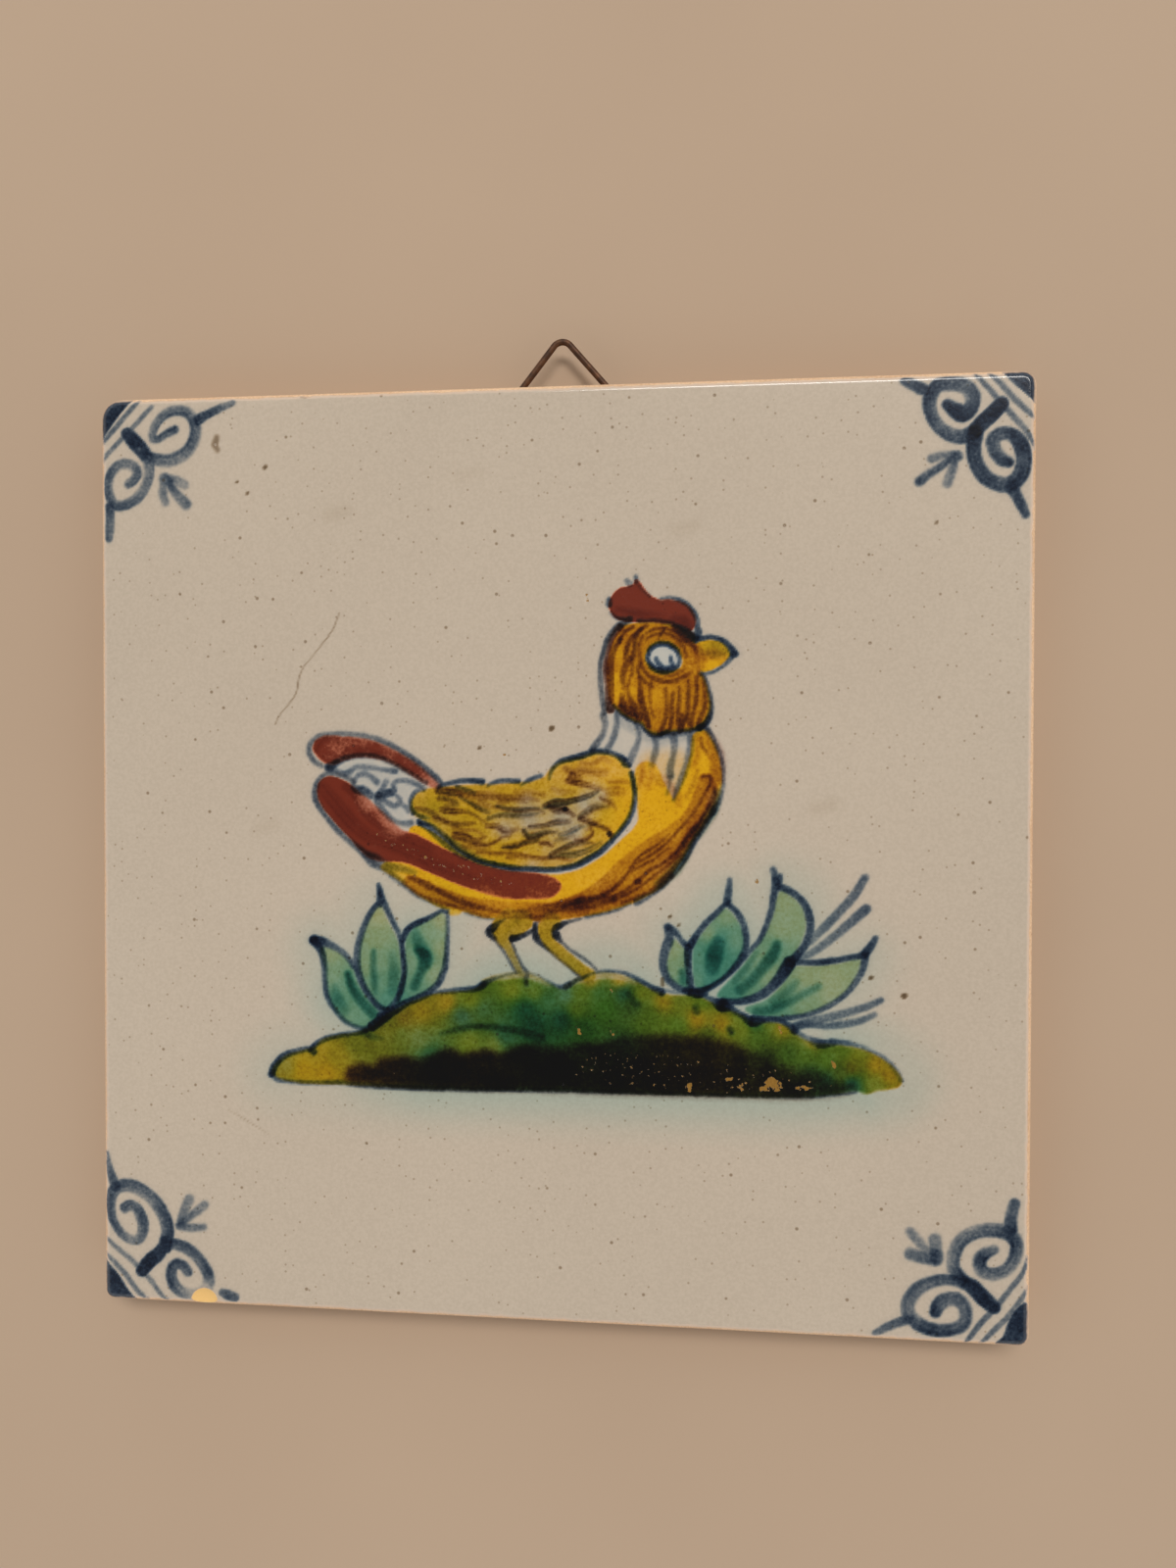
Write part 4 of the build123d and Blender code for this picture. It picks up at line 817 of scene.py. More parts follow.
for points, width, *loads in wing_strokes:
    for pigment, load, share in zip((ochre, manganese, blue), loads, (0.5, 0.9, 0.95)):
        if load:
            load *= share
            stroke(pigment, points, np.array(width) * 1.2, (load, load * 1.1, load * 0.6), soft=0.45, hairs=0.6)
wing_lines = (
    ([(0.2, 10.8), (0.5, 12), (1.6, 13.1), (3.2, 13.6), (5, 14.1), (6.6, 14.6), (8.2, 14.5), (9.6, 14), (10.6, 13.3)],
     (0.4, 0.6, 0.7, 0.8, 0.7, 0.6, 0.8), (0.6, 0.9, 1.4, 1.6, 1.5, 1.2, 1.9)),
    ([(10.6, 12.8), (11.2, 12.7)], (0.6, 0.7), 1.6),
    ([(11.5, 11.7), (11.8, 10.4), (12, 8.8), (11.8, 7), (11.2, 5.4), (10.2, 3.9), (8.9, 2.4)],
     (0.5, 0.6, 0.7, 0.6), (1.6, 1.6, 1.1, 1, 1.3, 1.5)),
    ([(8.8, 2.2), (7.4, 0.9), (5.8, -0.1), (4, -1), (2, -1.6), (0, -1.8), (-2.4, -1.7), (-5, -1.6), (-7.6, -1.2)],
     (0.7, 0.8, 0.7, 0.7, 0.8), (1.3, 1.5, 1.4, 1.5, 1.5)),
    ([(-7.6, -1.2), (-9.8, -0.6), (-11.6, 0.3), (-13, 1.3), (-14.4, 2.6), (-15.8, 3.7), (-17, 4.3), (-18, 4.5)],
     (0.8, 0.7, 0.6, 0.5, 0.6, 0.8), (1.7, 1.6, 1.3, 1, 1.4, 1.9)),
    ([(-18.2, 4.7), (-16.4, 3.6), (-14.8, 2.2), (-13.2, 0.9), (-11.4, -0.1)], (0.8, 1.2, 1.1, 0.9), (1.2, 1, 0.9, 0.8)),
    ([(-17.4, 9.2), (-18.6, 9), (-19.3, 8), (-19.4, 6.9), (-19, 6)], (0.5, 0.6, 0.6, 0.7), (0.7, 0.9, 0.9, 1.2)),
    ([(-19, 6.1), (-17.8, 5.4), (-16.8, 5.2)], (0.4, 0.6, 0.4), (0.8, 1.1, 0.6)),
    ([(-15.4, 9.6), (-14.4, 10), (-12.6, 10.4), (-10.8, 10.5), (-9.2, 10.3)], (0.6, 0.6, 0.6, 0.7),
     (1.5, 0.9, 1.2, 1.5)),
    ([(-8.5, 9.8), (-7.4, 10.3), (-5.8, 10.5), (-4.2, 10.4)], (0.4, 0.6, 0.6), (0.6, 1, 1.2)),
    ([(-3.8, 9.9), (-2.6, 10.6), (-1, 11.2)], (0.4, 0.6, 0.6), (0.6, 1, 0.9)),
)
strokes(blue, wing_lines, soft=0.38)
print("touches with the wing:", len(marks))

# %% [markdown]
# ## The head
#
# The head carries the most work: a yellow ground, a ring of short ochre pulls
# round the eye, long brown ones down the cheek and the beard, and a comb of
# iron red laid on last, thick enough to hide the contour below it.

# %% The head
wash(yellow, [(10.2, 31.6), (12, 32), (15, 32.2), (17.5, 31.6), (19, 30.4), (20, 29.4), (20.4, 27.5), (20.6, 25.6),
              (21.4, 24.2), (22, 22), (22.1, 20.4), (21.6, 18.8), (20.6, 17.9), (19, 17.5), (17, 17.4),
              (15.2, 16.9), (13.9, 17.4), (13, 18.4), (11.8, 18.9), (10.6, 19.6), (9.6, 20.4), (8.7, 21.4),
              (8.3, 23.6), (8.2, 26), (8.6, 28.4), (9.3, 30.2)], 2.6, soft=0.4)
wash(ochre, [(10, 31.8), (12, 32), (15, 32.2), (17.5, 31.6), (19, 30.4), (20.4, 29), (20.6, 27.5), (20.8, 25.6),
             (21.6, 24.2), (22.1, 22), (22.2, 20.4), (21.6, 18.8), (20.6, 17.9), (19, 17.5), (17, 17.4),
             (15.2, 16.9), (13.9, 17.4), (13, 18.4), (11.8, 18.9), (10.6, 19.6), (9.6, 20.4), (8.7, 21.4),
             (8, 23.6), (7.8, 26), (8.2, 28.4), (9, 30.2)], soft=0.4, pools=[
    (10.4, 30.6, 1.6), (13, 31.4, 1), (16.4, 31.2, 1.1), (19, 30, 2.2), (12.4, 29.6, 1), (11, 28, 1.2),
    (9.4, 28, 0.2), (9.3, 24.6, 0.1), (9.6, 22.4, 0.2), (8, 26, 1.8), (12, 25.4, 1), (10.6, 24.4, 0.9),
    (13.4, 28.6, 1.2), (18.6, 28.4, 1.3), (19.4, 27.2, 1.7), (20.4, 26.8, 1.3), (18.2, 25.6, 1.5), (15.8, 24.6, 1.3),
    (13.2, 23.6, 0.9), (14.8, 22, 0.6), (15, 19, 1), (17, 21, 1), (19, 21, 1.1), (21.2, 22, 1.1),
    (21.2, 19.6, 0.9), (12, 20.4, 1.5), (10.4, 20.8, 1.4), (11.4, 22.6, 0.3), (17.6, 18.6, 1.4), (20.2, 18.6, 1.2)])
head_strokes = (  # points, width, and the loads of ochre and manganese
    ([(9.9, 31.6), (8.9, 30.2), (8.3, 28.2), (8, 26), (8.1, 23.8), (8.3, 21.8), (8.6, 20.4)],
     (0.8, 0.6, 0.6, 0.7, 0.5, 0.6, 1), 1.2, (1.4, 0.8, 0.5, 0.7, 0.6, 1.2, 1.8)),
    ([(9.9, 30), (9, 28.2), (8.7, 26.2), (8.7, 23.6), (8.8, 21.6)], (0.5, 0.5, 0.7, 0.5), 0.8, (0.9, 0.6, 0.8, 0.6)),
    ([(11.6, 31.6), (10.4, 30.8), (9.8, 29.6)], 0.4, 0.6, 0.8),
    ([(12.8, 31.2), (11.4, 30), (10.8, 28.4), (10.6, 26.6)], (0.5, 0.5, 0.6, 0.3), 0.7, (0.9, 0.7, 0.9, 0.3)),
    ([(13.6, 31.7), (12.5, 31), (12, 29.8), (11.8, 28.2), (11.6, 26.6), (11.6, 25)], (0.4, 0.6, 0.5, 0.4), 0.6,
     (0.8, 0.9, 0.7, 0.4)),
    ([(11.4, 27.4), (10.6, 26), (10.3, 24.4), (10.6, 22.8)], (0.6, 0.7, 0.6, 0.3), 0.8, (0.6, 0.5, 0.6, 0.2)),
    ([(13, 30.3), (12.5, 29), (12.6, 27.4), (13, 26), (13.8, 25), (15, 24.4), (16.6, 24.1), (18.2, 24.5), (19.4, 25.2)],
     (0.4, 0.5, 0.4, 0.4, 0.5, 0.5, 0.5), 0.8, (0.6, 0.5, 0.5, 0.6, 0.7, 0.5, 0.3)),
    ([(12.6, 26.6), (12.4, 25.4), (13.2, 24.2), (14.4, 23.4)], (0.5, 0.4, 0.3), 0.6, (0.5, 0.8, 0.4)),
    ([(13.4, 30.6), (14.8, 31.3), (16.4, 31.2), (17.8, 30.6), (18.8, 29.6)], (0.3, 0.4, 0.4, 0.5), 0.6,
     (0.5, 0.6, 0.7, 0.9)),
    ([(13.4, 29.8), (14.6, 30.5), (16.2, 30.6), (17.6, 30), (18.6, 28.8), (19, 27.6)], (0.3, 0.4, 0.3), 0.7,
     (0.4, 0.6, 0.7, 0.5)),
    ([(15.2, 30), (15.6, 30.6), (16, 31.4)], 0.25, 0.2, 0.9),
    ([(17.4, 31.4), (18.6, 30.8), (19.6, 30.2)], (0.8, 1.1, 0.9), 1.2, (0.8, 1.1, 1.2)),
    ([(19.2, 29.4), (20, 28.8), (20.4, 28.2)], (0.6, 0.5, 0.3), 0.9, (1, 0.7, 0.3)),
    ([(12.6, 24.6), (12.7, 23), (12.9, 21.2), (13.4, 19.6), (13.9, 18)], (0.4, 0.6, 0.8, 0.9, 0.6), 1,
     (0.4, 0.6, 0.9, 1.1, 1)),
    ([(11.4, 25), (11, 23.2), (11.4, 21.6), (12.2, 20.2), (12.6, 19.2)], (0.3, 0.4, 0.8, 0.9), 0.9,
     (0.3, 0.4, 0.8, 0.9)),
    ([(10.2, 22.2), (10.4, 21), (11.4, 20.2), (12.2, 19.4)], (0.6, 0.9, 0.9, 0.6), 0.9, (0.5, 0.8, 0.7, 0.8)),
    ([(10, 20.8), (10.8, 20), (11.6, 19.6)], 0.6, 0.6, 0.9),
    ([(14.2, 24), (14, 22.4), (14.1, 20.8), (14.6, 19.2)], (0.3, 0.35, 0.3), 0.5, (0.5, 0.3, 0.4)),
    ([(16.2, 23.2), (16.3, 21.4), (16.2, 19.6), (15.8, 18), (15.4, 17.2)], (0.35, 0.4, 0.5, 0.6), 0.7,
     (0.5, 0.5, 0.7, 0.9)),
    ([(17.2, 22.6), (17, 20.8), (17, 19.2), (16.8, 17.8)], (0.4, 0.6, 0.5), 0.7, (0.5, 0.6, 0.8)),
    ([(18, 23.4), (18.1, 21.8), (17.9, 20), (17.9, 18.4)], (0.3, 0.4, 0.6, 0.5), 0.8, (0.5, 0.7, 0.6, 0.9)),
    ([(19.2, 24.2), (19.3, 22.4), (19.2, 20.6), (19, 18.8)], (0.3, 0.4, 0.5, 0.6), 0.7, (0.4, 0.8, 0.7, 0.9)),
    ([(20.2, 24.6), (20.4, 22.8), (20.2, 21), (19.8, 19.4), (19.6, 18.2)], (0.3, 0.5, 0.4, 0.7), 0.8,
     (0.3, 0.7, 0.6, 0.8)),
    ([(21.2, 24.2), (21.5, 22.6), (21.5, 21), (21, 19.4), (20.6, 18.4)], (0.4, 0.5, 0.5, 0.6), 0.6,
     (0.4, 0.5, 0.6, 0.9)),
    ([(18.4, 19.6), (18.4, 18.4), (18.2, 17.6)], (0.4, 0.8, 0.7), 0.7, (0.6, 1, 1.2)),
    ([(16.4, 25), (17.6, 25.2), (18.8, 25.9)], (0.3, 0.4, 0.3), 0.5, (0.3, 0.4, 0.3)),
    ([(20.6, 25.4), (20.4, 24.2), (20.6, 23)], (0.3, 0.4, 0.3), 0.5, (0.4, 0.4, 0.3)),
)
for points, width, *loads in head_strokes:
    for pigment, load, share in zip((ochre, manganese, blue), (*loads, loads[1]), (1.2, 0.75, 0.12)):
        stroke(pigment, points, np.array(width) * 1.15, np.array(load) * share, soft=0.4, hairs=0.3)
head_lines = (
    ([(11.2, 32.6), (10, 32), (9, 31.1), (8.1, 29.8), (7.6, 28.2), (7.2, 26.4), (7.2, 24.4), (7.4, 22.4), (7.7, 20.8),
      (7.7, 19.6)],
     (0.9, 0.9, 0.7, 0.6, 0.6, 0.7, 0.8, 0.6), (1, 0.8, 0.8, 0.8, 0.65, 0.6, 0.7, 0.8)),
    ([(9, 20.9), (10, 19.9), (11, 19.1), (12.2, 18.6), (12.9, 18.3), (13.3, 17.6), (14.2, 16.9), (15.2, 16.8),
      (16.4, 17.2),
      (17.6, 17.1), (18.8, 17.4), (19.8, 17.5), (20.8, 17.8)],
     (0.4, 0.5, 0.6, 0.5, 0.6, 0.6, 0.5, 0.6, 0.7), (0.8, 1.2, 1.2, 1.3, 1, 1.7, 1, 1.1, 1.8)),
    ([(20.8, 17.8), (21.8, 18.6), (22.3, 20), (22.3, 21.6), (22, 23), (21.5, 24.4), (21, 25.2)],
     (0.9, 0.8, 0.6, 0.6, 0.5, 0.5), (1.9, 1.3, 0.9, 0.8, 0.9, 1)),
    ([(12.4, 32.4), (15, 32.4), (17, 31.9), (18.4, 31.2), (19.6, 30.4), (20.2, 29.8)], (0.5, 0.6, 0.7, 1, 1),
     (0.7, 0.6, 0.7, 0.9, 1.3)),
)
strokes(blue, head_lines, soft=0.38)
strokes(manganese, head_lines, wider=0.7, fuller=0.3, soft=0.4)

wash(yellow, [(20.2, 29), (21.2, 29.5), (22.6, 29.6), (23.8, 29.2), (24.6, 28.4), (24.8, 27.6), (23.8, 26.6),
              (22.6, 25.9),
              (21.4, 25.5), (20.6, 25.8), (20.2, 27.2)], 2.2, soft=0.4)  # the beak
stroke(ochre, [(20.4, 28.4), (20.8, 27.2), (20.9, 26.2)], (1.4, 1.6, 1.2), (1.4, 1.1, 0.8), soft=0.8)
stroke(ochre, [(21, 27.4), (22.6, 27.8), (24, 27.4)], (1, 1.6, 1), (1, 1.2, 0.8), soft=0.8)
stroke(blue, [(21.2, 28.4), (22.8, 28.5), (24, 28.2)], (1.6, 2.4, 1.4), (0.15, 0.25, 0.3), soft=0.9)
beak_lines = (
    ([(20.2, 29.9), (21.2, 30), (22.4, 30.1), (23.6, 29.8), (24.6, 29), (25.2, 28.2), (25.5, 27.8)],
     (1, 0.7, 0.5, 0.6, 0.7, 0.9, 0.9), (1.6, 1.2, 1.2, 1.4, 1.5, 1.7, 1.9)),
    ([(25.2, 27.7), (24.6, 26.8), (23.8, 26.1), (22.8, 25.5), (21.8, 25.2), (20.9, 25.2)], (0.7, 0.5, 0.4, 0.4, 0.4),
     (1.4, 0.9, 1, 0.9, 0.9)),
    ([(20.4, 31.6), (20.6, 30.8), (20.5, 30.2)], (0.6, 0.9, 0.8), (0.8, 1, 1.4)),
)
strokes(blue, beak_lines, soft=0.4)

eye_edge = [(13.9, 27.6), (14.6, 28.6), (15.9, 29), (17.2, 28.4), (17.9, 27.2), (17.6, 26.3), (16.4, 25.9), (15, 26.1),
            (14.1, 26.8)]
wash("bare glaze", [(15.9 + (x - 15.9) * 1.3, 27.4 + (y - 27.4) * 1.3) for x, y in eye_edge], soft=0.35)
wash(white, eye_edge, 2.6, soft=0.35)
eye_lines = (
    ([(13.7, 27.5), (14.1, 28.5), (15.2, 29.2), (16.5, 29.1), (17.6, 28.4), (18, 27.4), (17.8, 26.3), (16.9, 25.7),
      (15.6, 25.6),
      (14.5, 26), (13.8, 26.9), (13.7, 27.6)],
     (0.5, 0.7, 0.7, 0.7, 0.6, 0.4, 0.5, 0.8, 0.7, 0.5, 0.5), (1.6, 1.6, 1.8, 1.9, 1.5, 1.3, 1.7, 2.1, 2, 1.6, 1.6)),
    ([(14.8, 27.3), (15.1, 26.7), (15.6, 26.1)], (0.5, 0.6, 0.6), (0.9, 1.2, 1.4)),
    ([(16.8, 27.4), (16.9, 26.8), (17.1, 26.3)], (0.5, 0.5, 0.6), (1.1, 1.2, 1.4)),
    ([(15.4, 26), (16.4, 25.9), (17.3, 26.2)], (0.5, 0.6, 0.5), (1.5, 1.8, 1.5)),
)
strokes(blue, eye_lines, soft=0.3)

comb_edge = [
    (8.5, 34.9), (9, 36), (9.8, 36.8), (10.9, 37.1), (11.7, 37.4), (12, 38), (12.5, 37.6), (13.1, 36.7), (13.9, 35.8),
    (15.2, 35.2), (16.6, 35.2), (18, 34.9), (19, 34.4), (19.8, 33.4), (20.1, 32.2), (19.7, 31.2), (18.7, 31),
    (17.8, 31.6), (16.6, 32.1), (14.4, 32.3), (12.2, 32.3), (10.4, 32.5), (9.2, 33.1), (8.6, 34)]
wash(red, comb_edge, 4, soft=0.35, pools=[
    (10.5, 35, 4), (13, 34.4, 4), (17, 33.8, 3.6), (14.4, 35.4, 2.6), (19.2, 32, 3)])
stroke(manganese, [(17.4, 32.4), (18.4, 32), (19.2, 31.6)], (1.6, 2, 1.2), (0.3, 0.4, 0.3), soft=1.0)
stroke(manganese, [(9.6, 34), (12.6, 33.4), (16, 33.2)], (0.8, 1, 0.6), (0.25, 0.3, 0.1), soft=0.9)
comb_lines = (
    ([(15.4, 35.4), (16.8, 35.5), (18, 35.2), (19.2, 34.5), (20, 33.4), (20.4, 32.2), (20.4, 31.2)],
     (0.3, 0.4, 0.5, 0.5, 0.6, 0.6, 0.7), (0.7, 0.8, 1.1, 1.2, 1.1, 0.9, 0.9)),
    ([(12, 38.4), (12.1, 37.8)], (0.5, 0.7), (0.9, 0.7)),
    ([(10.8, 37.9), (11.2, 37.5)], (0.7, 0.9), 0.6),
    ([(8.4, 35.4), (8.4, 34.7)], (0.6, 0.8), 0.9),
    ([(8.6, 33.6), (9.4, 32.9), (10.6, 32.6)], (0.3, 0.4, 0.5), (0.6, 0.8, 1.1)),
    ([(12.4, 37.2), (13.2, 36.4), (14, 35.7)], (0.3, 0.3), 0.4),
)
strokes(blue, comb_lines, soft=0.35)
print("touches of the brush in all:", len(marks))

# %% [markdown]
# ## The worn places
#
# A used tile has pinholes, specks of grit that burned in, small bruises in the
# glaze and a hair crack. The worst are known places, so they are touches too:
# a rub wears the colour through, and grit and cracks leave a dark stain. The many
# tiny ones come from the material later.

# %% The worn places
grit, rub = "grit", "rub"
for x, y, size in ((0.4, 17.7, 0.7), (-9.7, 15, 0.4), (48.2, -18.2, 0.7), (43.8, -15.8, 0.5), (-40.4, 54.6, 0.5),
                   (-44.5, 52.6, 0.3), (-43, 51, 0.35), (16.8, -8, 0.4), (18, -9.2, 0.3), (52, 45, 0.3)):
    stroke(grit, [(x, y), (x + 0.1, y + 0.05)], size, 1.6, soft=0.25)
stroke(grit, [(15.9, -16.6), (15.9, -17.4)], 0.5, 1.2, soft=0.3)
stroke(grit, [(-47.5, 59), (-47.7, 58), (-47.3, 57.2)], (0.7, 1, 0.6), 0.9, soft=0.5)
stroke(grit, [(-34.6, 64.6), (-33.9, 64.9)], 0.9, 3, soft=0.3)
stroke(grit, [(-29.6, 34), (-30.6, 31.6), (-33, 28.6), (-35.2, 25.8), (-36, 22.6), (-38.2, 19.8), (-39, 18.4)],
       0.16, (0.5, 0.8, 0.4, 0.9, 0.5, 0.7), soft=0.2)
for x, y, load in ((-30, 47.9, 0.1), (18.8, 44.9, 0.08), (37.4, 7.1, 0.1), (-40.4, 3.8, 0.07), (-11, 53, 0.05)):
    stroke(grit, [(x - 1.2, y - 0.2), (x, y), (x + 1.2, y + 0.4)], 1.4, load, soft=2.2)
stroke(grit, [(-46.1, -36.6), (-43.4, -38), (-40, -40)], 0.12, (0.2, 0.4, 0.2), soft=0.2)
strokes(rub, (
    ([(19.6, -31), (19.6, -31.8)], 0.6, 0.9), ([(29.9, -30.4), (31, -30.2), (32, -30.6)], (0.6, 1.1, 0.6), 0.7),
    ([(29.2, -31.3), (30.4, -31.1)], 0.8, 0.8), ([(34.2, -31.1), (35.8, -30.9)], (0.7, 0.9, 0.5), 0.8),
    ([(24.6, -30.2), (25.4, -30.1)], 0.4, 0.8), ([(26.6, -30.8), (26.7, -31.5)], 0.7, 0.8),
    ([(24, -32), (24.8, -31.9)], 0.3, 0.7),
    ([(-22, -30.8), (-21.8, -30.7)], 0.4, 0.7), ([(33.4, -28.9), (34, -28.7)], 0.4, 0.5),
    ([(4.2, -23), (4.3, -23.4)], 0.4, 0.6),
    ([(28.5, -3.1), (28.6, -3)], 0.8, 0.9), ([(5.2, 36.2), (5.4, 35.4)], 0.8, 0.8),
    ([(-6.2, 14.2), (-6, 14.2)], 0.7, 0.8),
    ([(38.9, -27.2), (39.1, -27.9)], 0.6, 1.1), ([(31.7, -22.9), (31.9, -23.5)], 0.6, 1),
    ([(8.6, -23.6), (9.2, -24.6)], 0.7, 0.7),
    ([(4.1, -23.6), (4.5, -24.4)], 0.8, 0.8), ([(8.8, -18.2), (8.9, -18.5)], 0.4, 1),
    ([(30.6, -30.2), (31.4, -31)], 1.2, 0.9),
), soft=0.4)
wash(rub, [(6, -26), (26, -27), (38, -29.4), (38, -31.6), (6, -32)], 0.578, soft=2.0)
wash(rub, [(-30, 6), (-20, 2), (-6, -2.4), (0, -4), (-6, -5), (-20, -0.4), (-28, 4)], 0.61, soft=1.5)
print("touches and worn places:", len(marks))

# %% [markdown]
# ## The clay
#
# The tile is one closed mesh, so the glaze can roll over its edge without a
# seam. It starts as a grid of 2 mm squares. A painting needs points as close
# together as its thinnest line is wide, and the empty glaze needs none, so the
# squares near the paint are split in four, and those near the edge of a stroke
# again, down to a quarter of a millimetre.

# %% A grid that is fine where the paint is
roll = 1.1  # the radius with which the glaze goes over the edge
flat = half_side - roll
hole_places = ((-5.2, -38.0), (8.33, 41.0))  # where the wire's legs go in, and their lean
hole_radius, hole_depth = 0.53, 9.0
wire_level = 2.75  # how high above the back the wire lies
flake_middle = (-49.7, -64.5)

clay = bmesh.new()
bmesh.ops.create_grid(clay, x_segments=64, y_segments=64, size=flat)


def in_parts(numbers):
    """The same numbers, a few thousand at a time, so that the sums stay small in memory."""
    return np.array_split(numbers, len(numbers) // 4000 + 1)


def gap_to_paint(places, reach):
    """How far each place is from the paint, and from the edge of any stroke or wash."""
    gap, edge = np.full(len(places), 9.0), np.full(len(places), 9.0)
    for mark in marks:
        for some in in_parts(close_to(mark, places, reach)):
            outside = nearest(mark, places[some])[0]
            gap[some] = np.minimum(gap[some], outside)
            edge[some] = np.minimum(edge[some], outside if mark["kind"] == "stroke" else abs(outside))
    return gap, edge


def refine(paint_gap, edge_gap, corner_gap, hole_gap, flake_gap):
    """Splits in four the squares whose middle is near enough to what needs them."""
    squares = [face for face in clay.faces if len(face.verts) == 4]
    middles = np.array([face.calc_center_median().xy for face in squares])
    gap, edge = gap_to_paint(middles, max(paint_gap, edge_gap))
    wanted = (gap < paint_gap) | (edge < edge_gap)
    wanted |= (abs(middles) > flat - corner_gap).all(1)
    wanted |= np.hypot(*(middles - flake_middle).T) < flake_gap
    for x, lean in hole_places:
        wanted |= (abs(middles[:, 0] - x) < hole_gap) & (middles[:, 1] > flat - hole_gap)
    for face in clay.faces:
        face.tag = False
    for face, want in zip(squares, wanted):
        face.tag = bool(want)
    edges = [edge for edge in clay.edges if any(face.tag for face in edge.link_faces)]
    bmesh.ops.subdivide_edges(clay, edges=edges, cuts=1, use_grid_fill=True)
    print(len(clay.faces), "faces in the glaze")


refine(paint_gap=3.0, edge_gap=3.0, corner_gap=5.0, hole_gap=3.6, flake_gap=5.5)
refine(paint_gap=1.2, edge_gap=1.2, corner_gap=3.4, hole_gap=2.0, flake_gap=4.0)
refine(paint_gap=-9.0, edge_gap=0.5, corner_gap=2.6, hole_gap=0.0, flake_gap=3.2)
refine(paint_gap=-9.0, edge_gap=-9.0, corner_gap=0.0, hole_gap=0.0, flake_gap=2.6)

# %% [markdown]
# ## The edge
#
# The four corners are worn to different radii. Each corner's square is drawn in
# to a quarter circle, and then the rim is pulled outwards and down ring by ring:
# over the roll, down the side, which leans in by two degrees as tiles are cut,
# and in again where the knife edge was rubbed off the back.

# %% Round the corners and pull down the edge
corner_radii = {(-1, 1): 1.9, (1, 1): 0.8, (-1, -1): 0.4, (1, -1): 0.35}  # of the flat face, in mm


def from_corner(place):
    """The signs and centre of the nearest corner's circle, and the way to the place from it."""
    signs = (1 if place.x > 0 else -1, 1 if place.y > 0 else -1)
    centre = Vector(signs) * (flat - corner_radii[signs])
    return signs, centre, place.xy - centre


def outwards(place):
    """The direction away from the tile at its rim."""
    signs, _, way = from_corner(place)
    beyond_x, beyond_y = way.x * signs[0], way.y * signs[1]
    if beyond_x > 0 and beyond_y > 0:
        return way.normalized()
    return Vector((signs[0], 0)) if beyond_x > beyond_y else Vector((0, signs[1]))


def beyond_flat(place):
    """How far a place lies outside the flat face, or below 0 inside it."""
    signs, _, way = from_corner(place)
    beyond = way * Vector(signs)
    out = beyond.length if min(beyond) > 0 else max(beyond)
    return out - corner_radii[signs]


for vert in clay.verts:
    signs, centre, way = from_corner(vert.co)
    beyond = way * Vector(signs)
    if min(beyond) > 0:
        vert.co.xy = centre + way * max(beyond) / way.length
    vert.co.z = thickness

undercut = 0.035  # how far the side leans in, for each millimetre down
chamfer = 0.5
profile = [(roll * sin(radians(a)), roll * (1 - cos(radians(a)))) for a in (3, 8, 15, 30, 45, 60, 75, 90)]
side_rings = (1.5, 2.1, 2.9, 3.75, 4.75, 5.75, 6.4, thickness - chamfer)
profile += [(roll - undercut * (down - roll), down) for down in side_rings]
profile += [(profile[-1][0] - chamfer, thickness)]

ring = [edge for edge in clay.edges if edge.is_boundary]
out_before, down_before = 0.0, 0.0
for out, down in profile:
    new = bmesh.ops.extrude_edge_only(clay, edges=ring)["geom"]
    ring = [item for item in new if isinstance(item, bmesh.types.BMEdge)]
    for vert in (item for item in new if isinstance(item, bmesh.types.BMVert)):
        vert.co.xy += outwards(vert.co) * (out - out_before)
        vert.co.z -= down - down_before
    out_before, down_before = out, down
print(len(ring), "points round the rim, in", len(profile), "rings")

# %% [markdown]
# ## The back and the two holes
#
# The back is a coarser grid, and triangles fill the band between it and the last
# ring. Each pierced hole takes the place of a few squares of the top side: a
# circle is laid in the side along the wire's leg, the gap round it is filled, and
# the circle is drawn down into the clay.

# %% The back and the two holes
back = bmesh.ops.create_grid(clay, x_segments=32, y_segments=32, size=flat - 2.0)["verts"]
back_rim = [edge for edge in clay.edges if edge.is_boundary and edge.verts[0] in set(back)]
bmesh.ops.triangle_fill(clay, use_beauty=True, edges=ring + back_rim)

for x, lean in hole_places:
    down_leg = Vector((sin(radians(lean)), -cos(radians(lean)), 0))
    start = Vector((x, half_side, wire_level))
    patch = []
    for face in clay.faces:
        middle = face.calc_center_median()
        if middle.y > flat + 0.5 and abs(middle.z - wire_level) < 1.0 and abs(middle.x - x) < 1.1:
            patch.append(face)
    bmesh.ops.delete(clay, geom=patch, context="FACES")
    gap_rim = [edge for edge in clay.edges if edge.is_boundary]
    across = down_leg.cross(Vector((0, 0, 1)))
    facing = Matrix((across, (0, 0, 1), down_leg)).transposed().to_4x4()
    placed = Matrix.Translation(start) @ facing
    circle = bmesh.ops.create_circle(clay, segments=24, radius=hole_radius, matrix=placed)["verts"]
    for vert in circle:
        side_y = half_side - undercut * (thickness - roll - vert.co.z)
        vert.co += down_leg * (side_y - vert.co.y) / down_leg.y
    hole_rim = [edge for edge in clay.edges if edge.is_wire]
    bmesh.ops.triangle_fill(clay, use_beauty=True, edges=gap_rim + hole_rim)
    deep = bmesh.ops.extrude_edge_only(clay, edges=hole_rim)["geom"]
    for vert in (item for item in deep if isinstance(item, bmesh.types.BMVert)):
        vert.co += down_leg * (hole_depth - (vert.co - start).dot(down_leg))
    bmesh.ops.edgeloop_fill(clay, edges=[item for item in deep if isinstance(item, bmesh.types.BMEdge)])
bmesh.ops.recalc_face_normals(clay, faces=clay.faces)
print("open edges left:", sum(1 for edge in clay.edges if not edge.is_manifold))

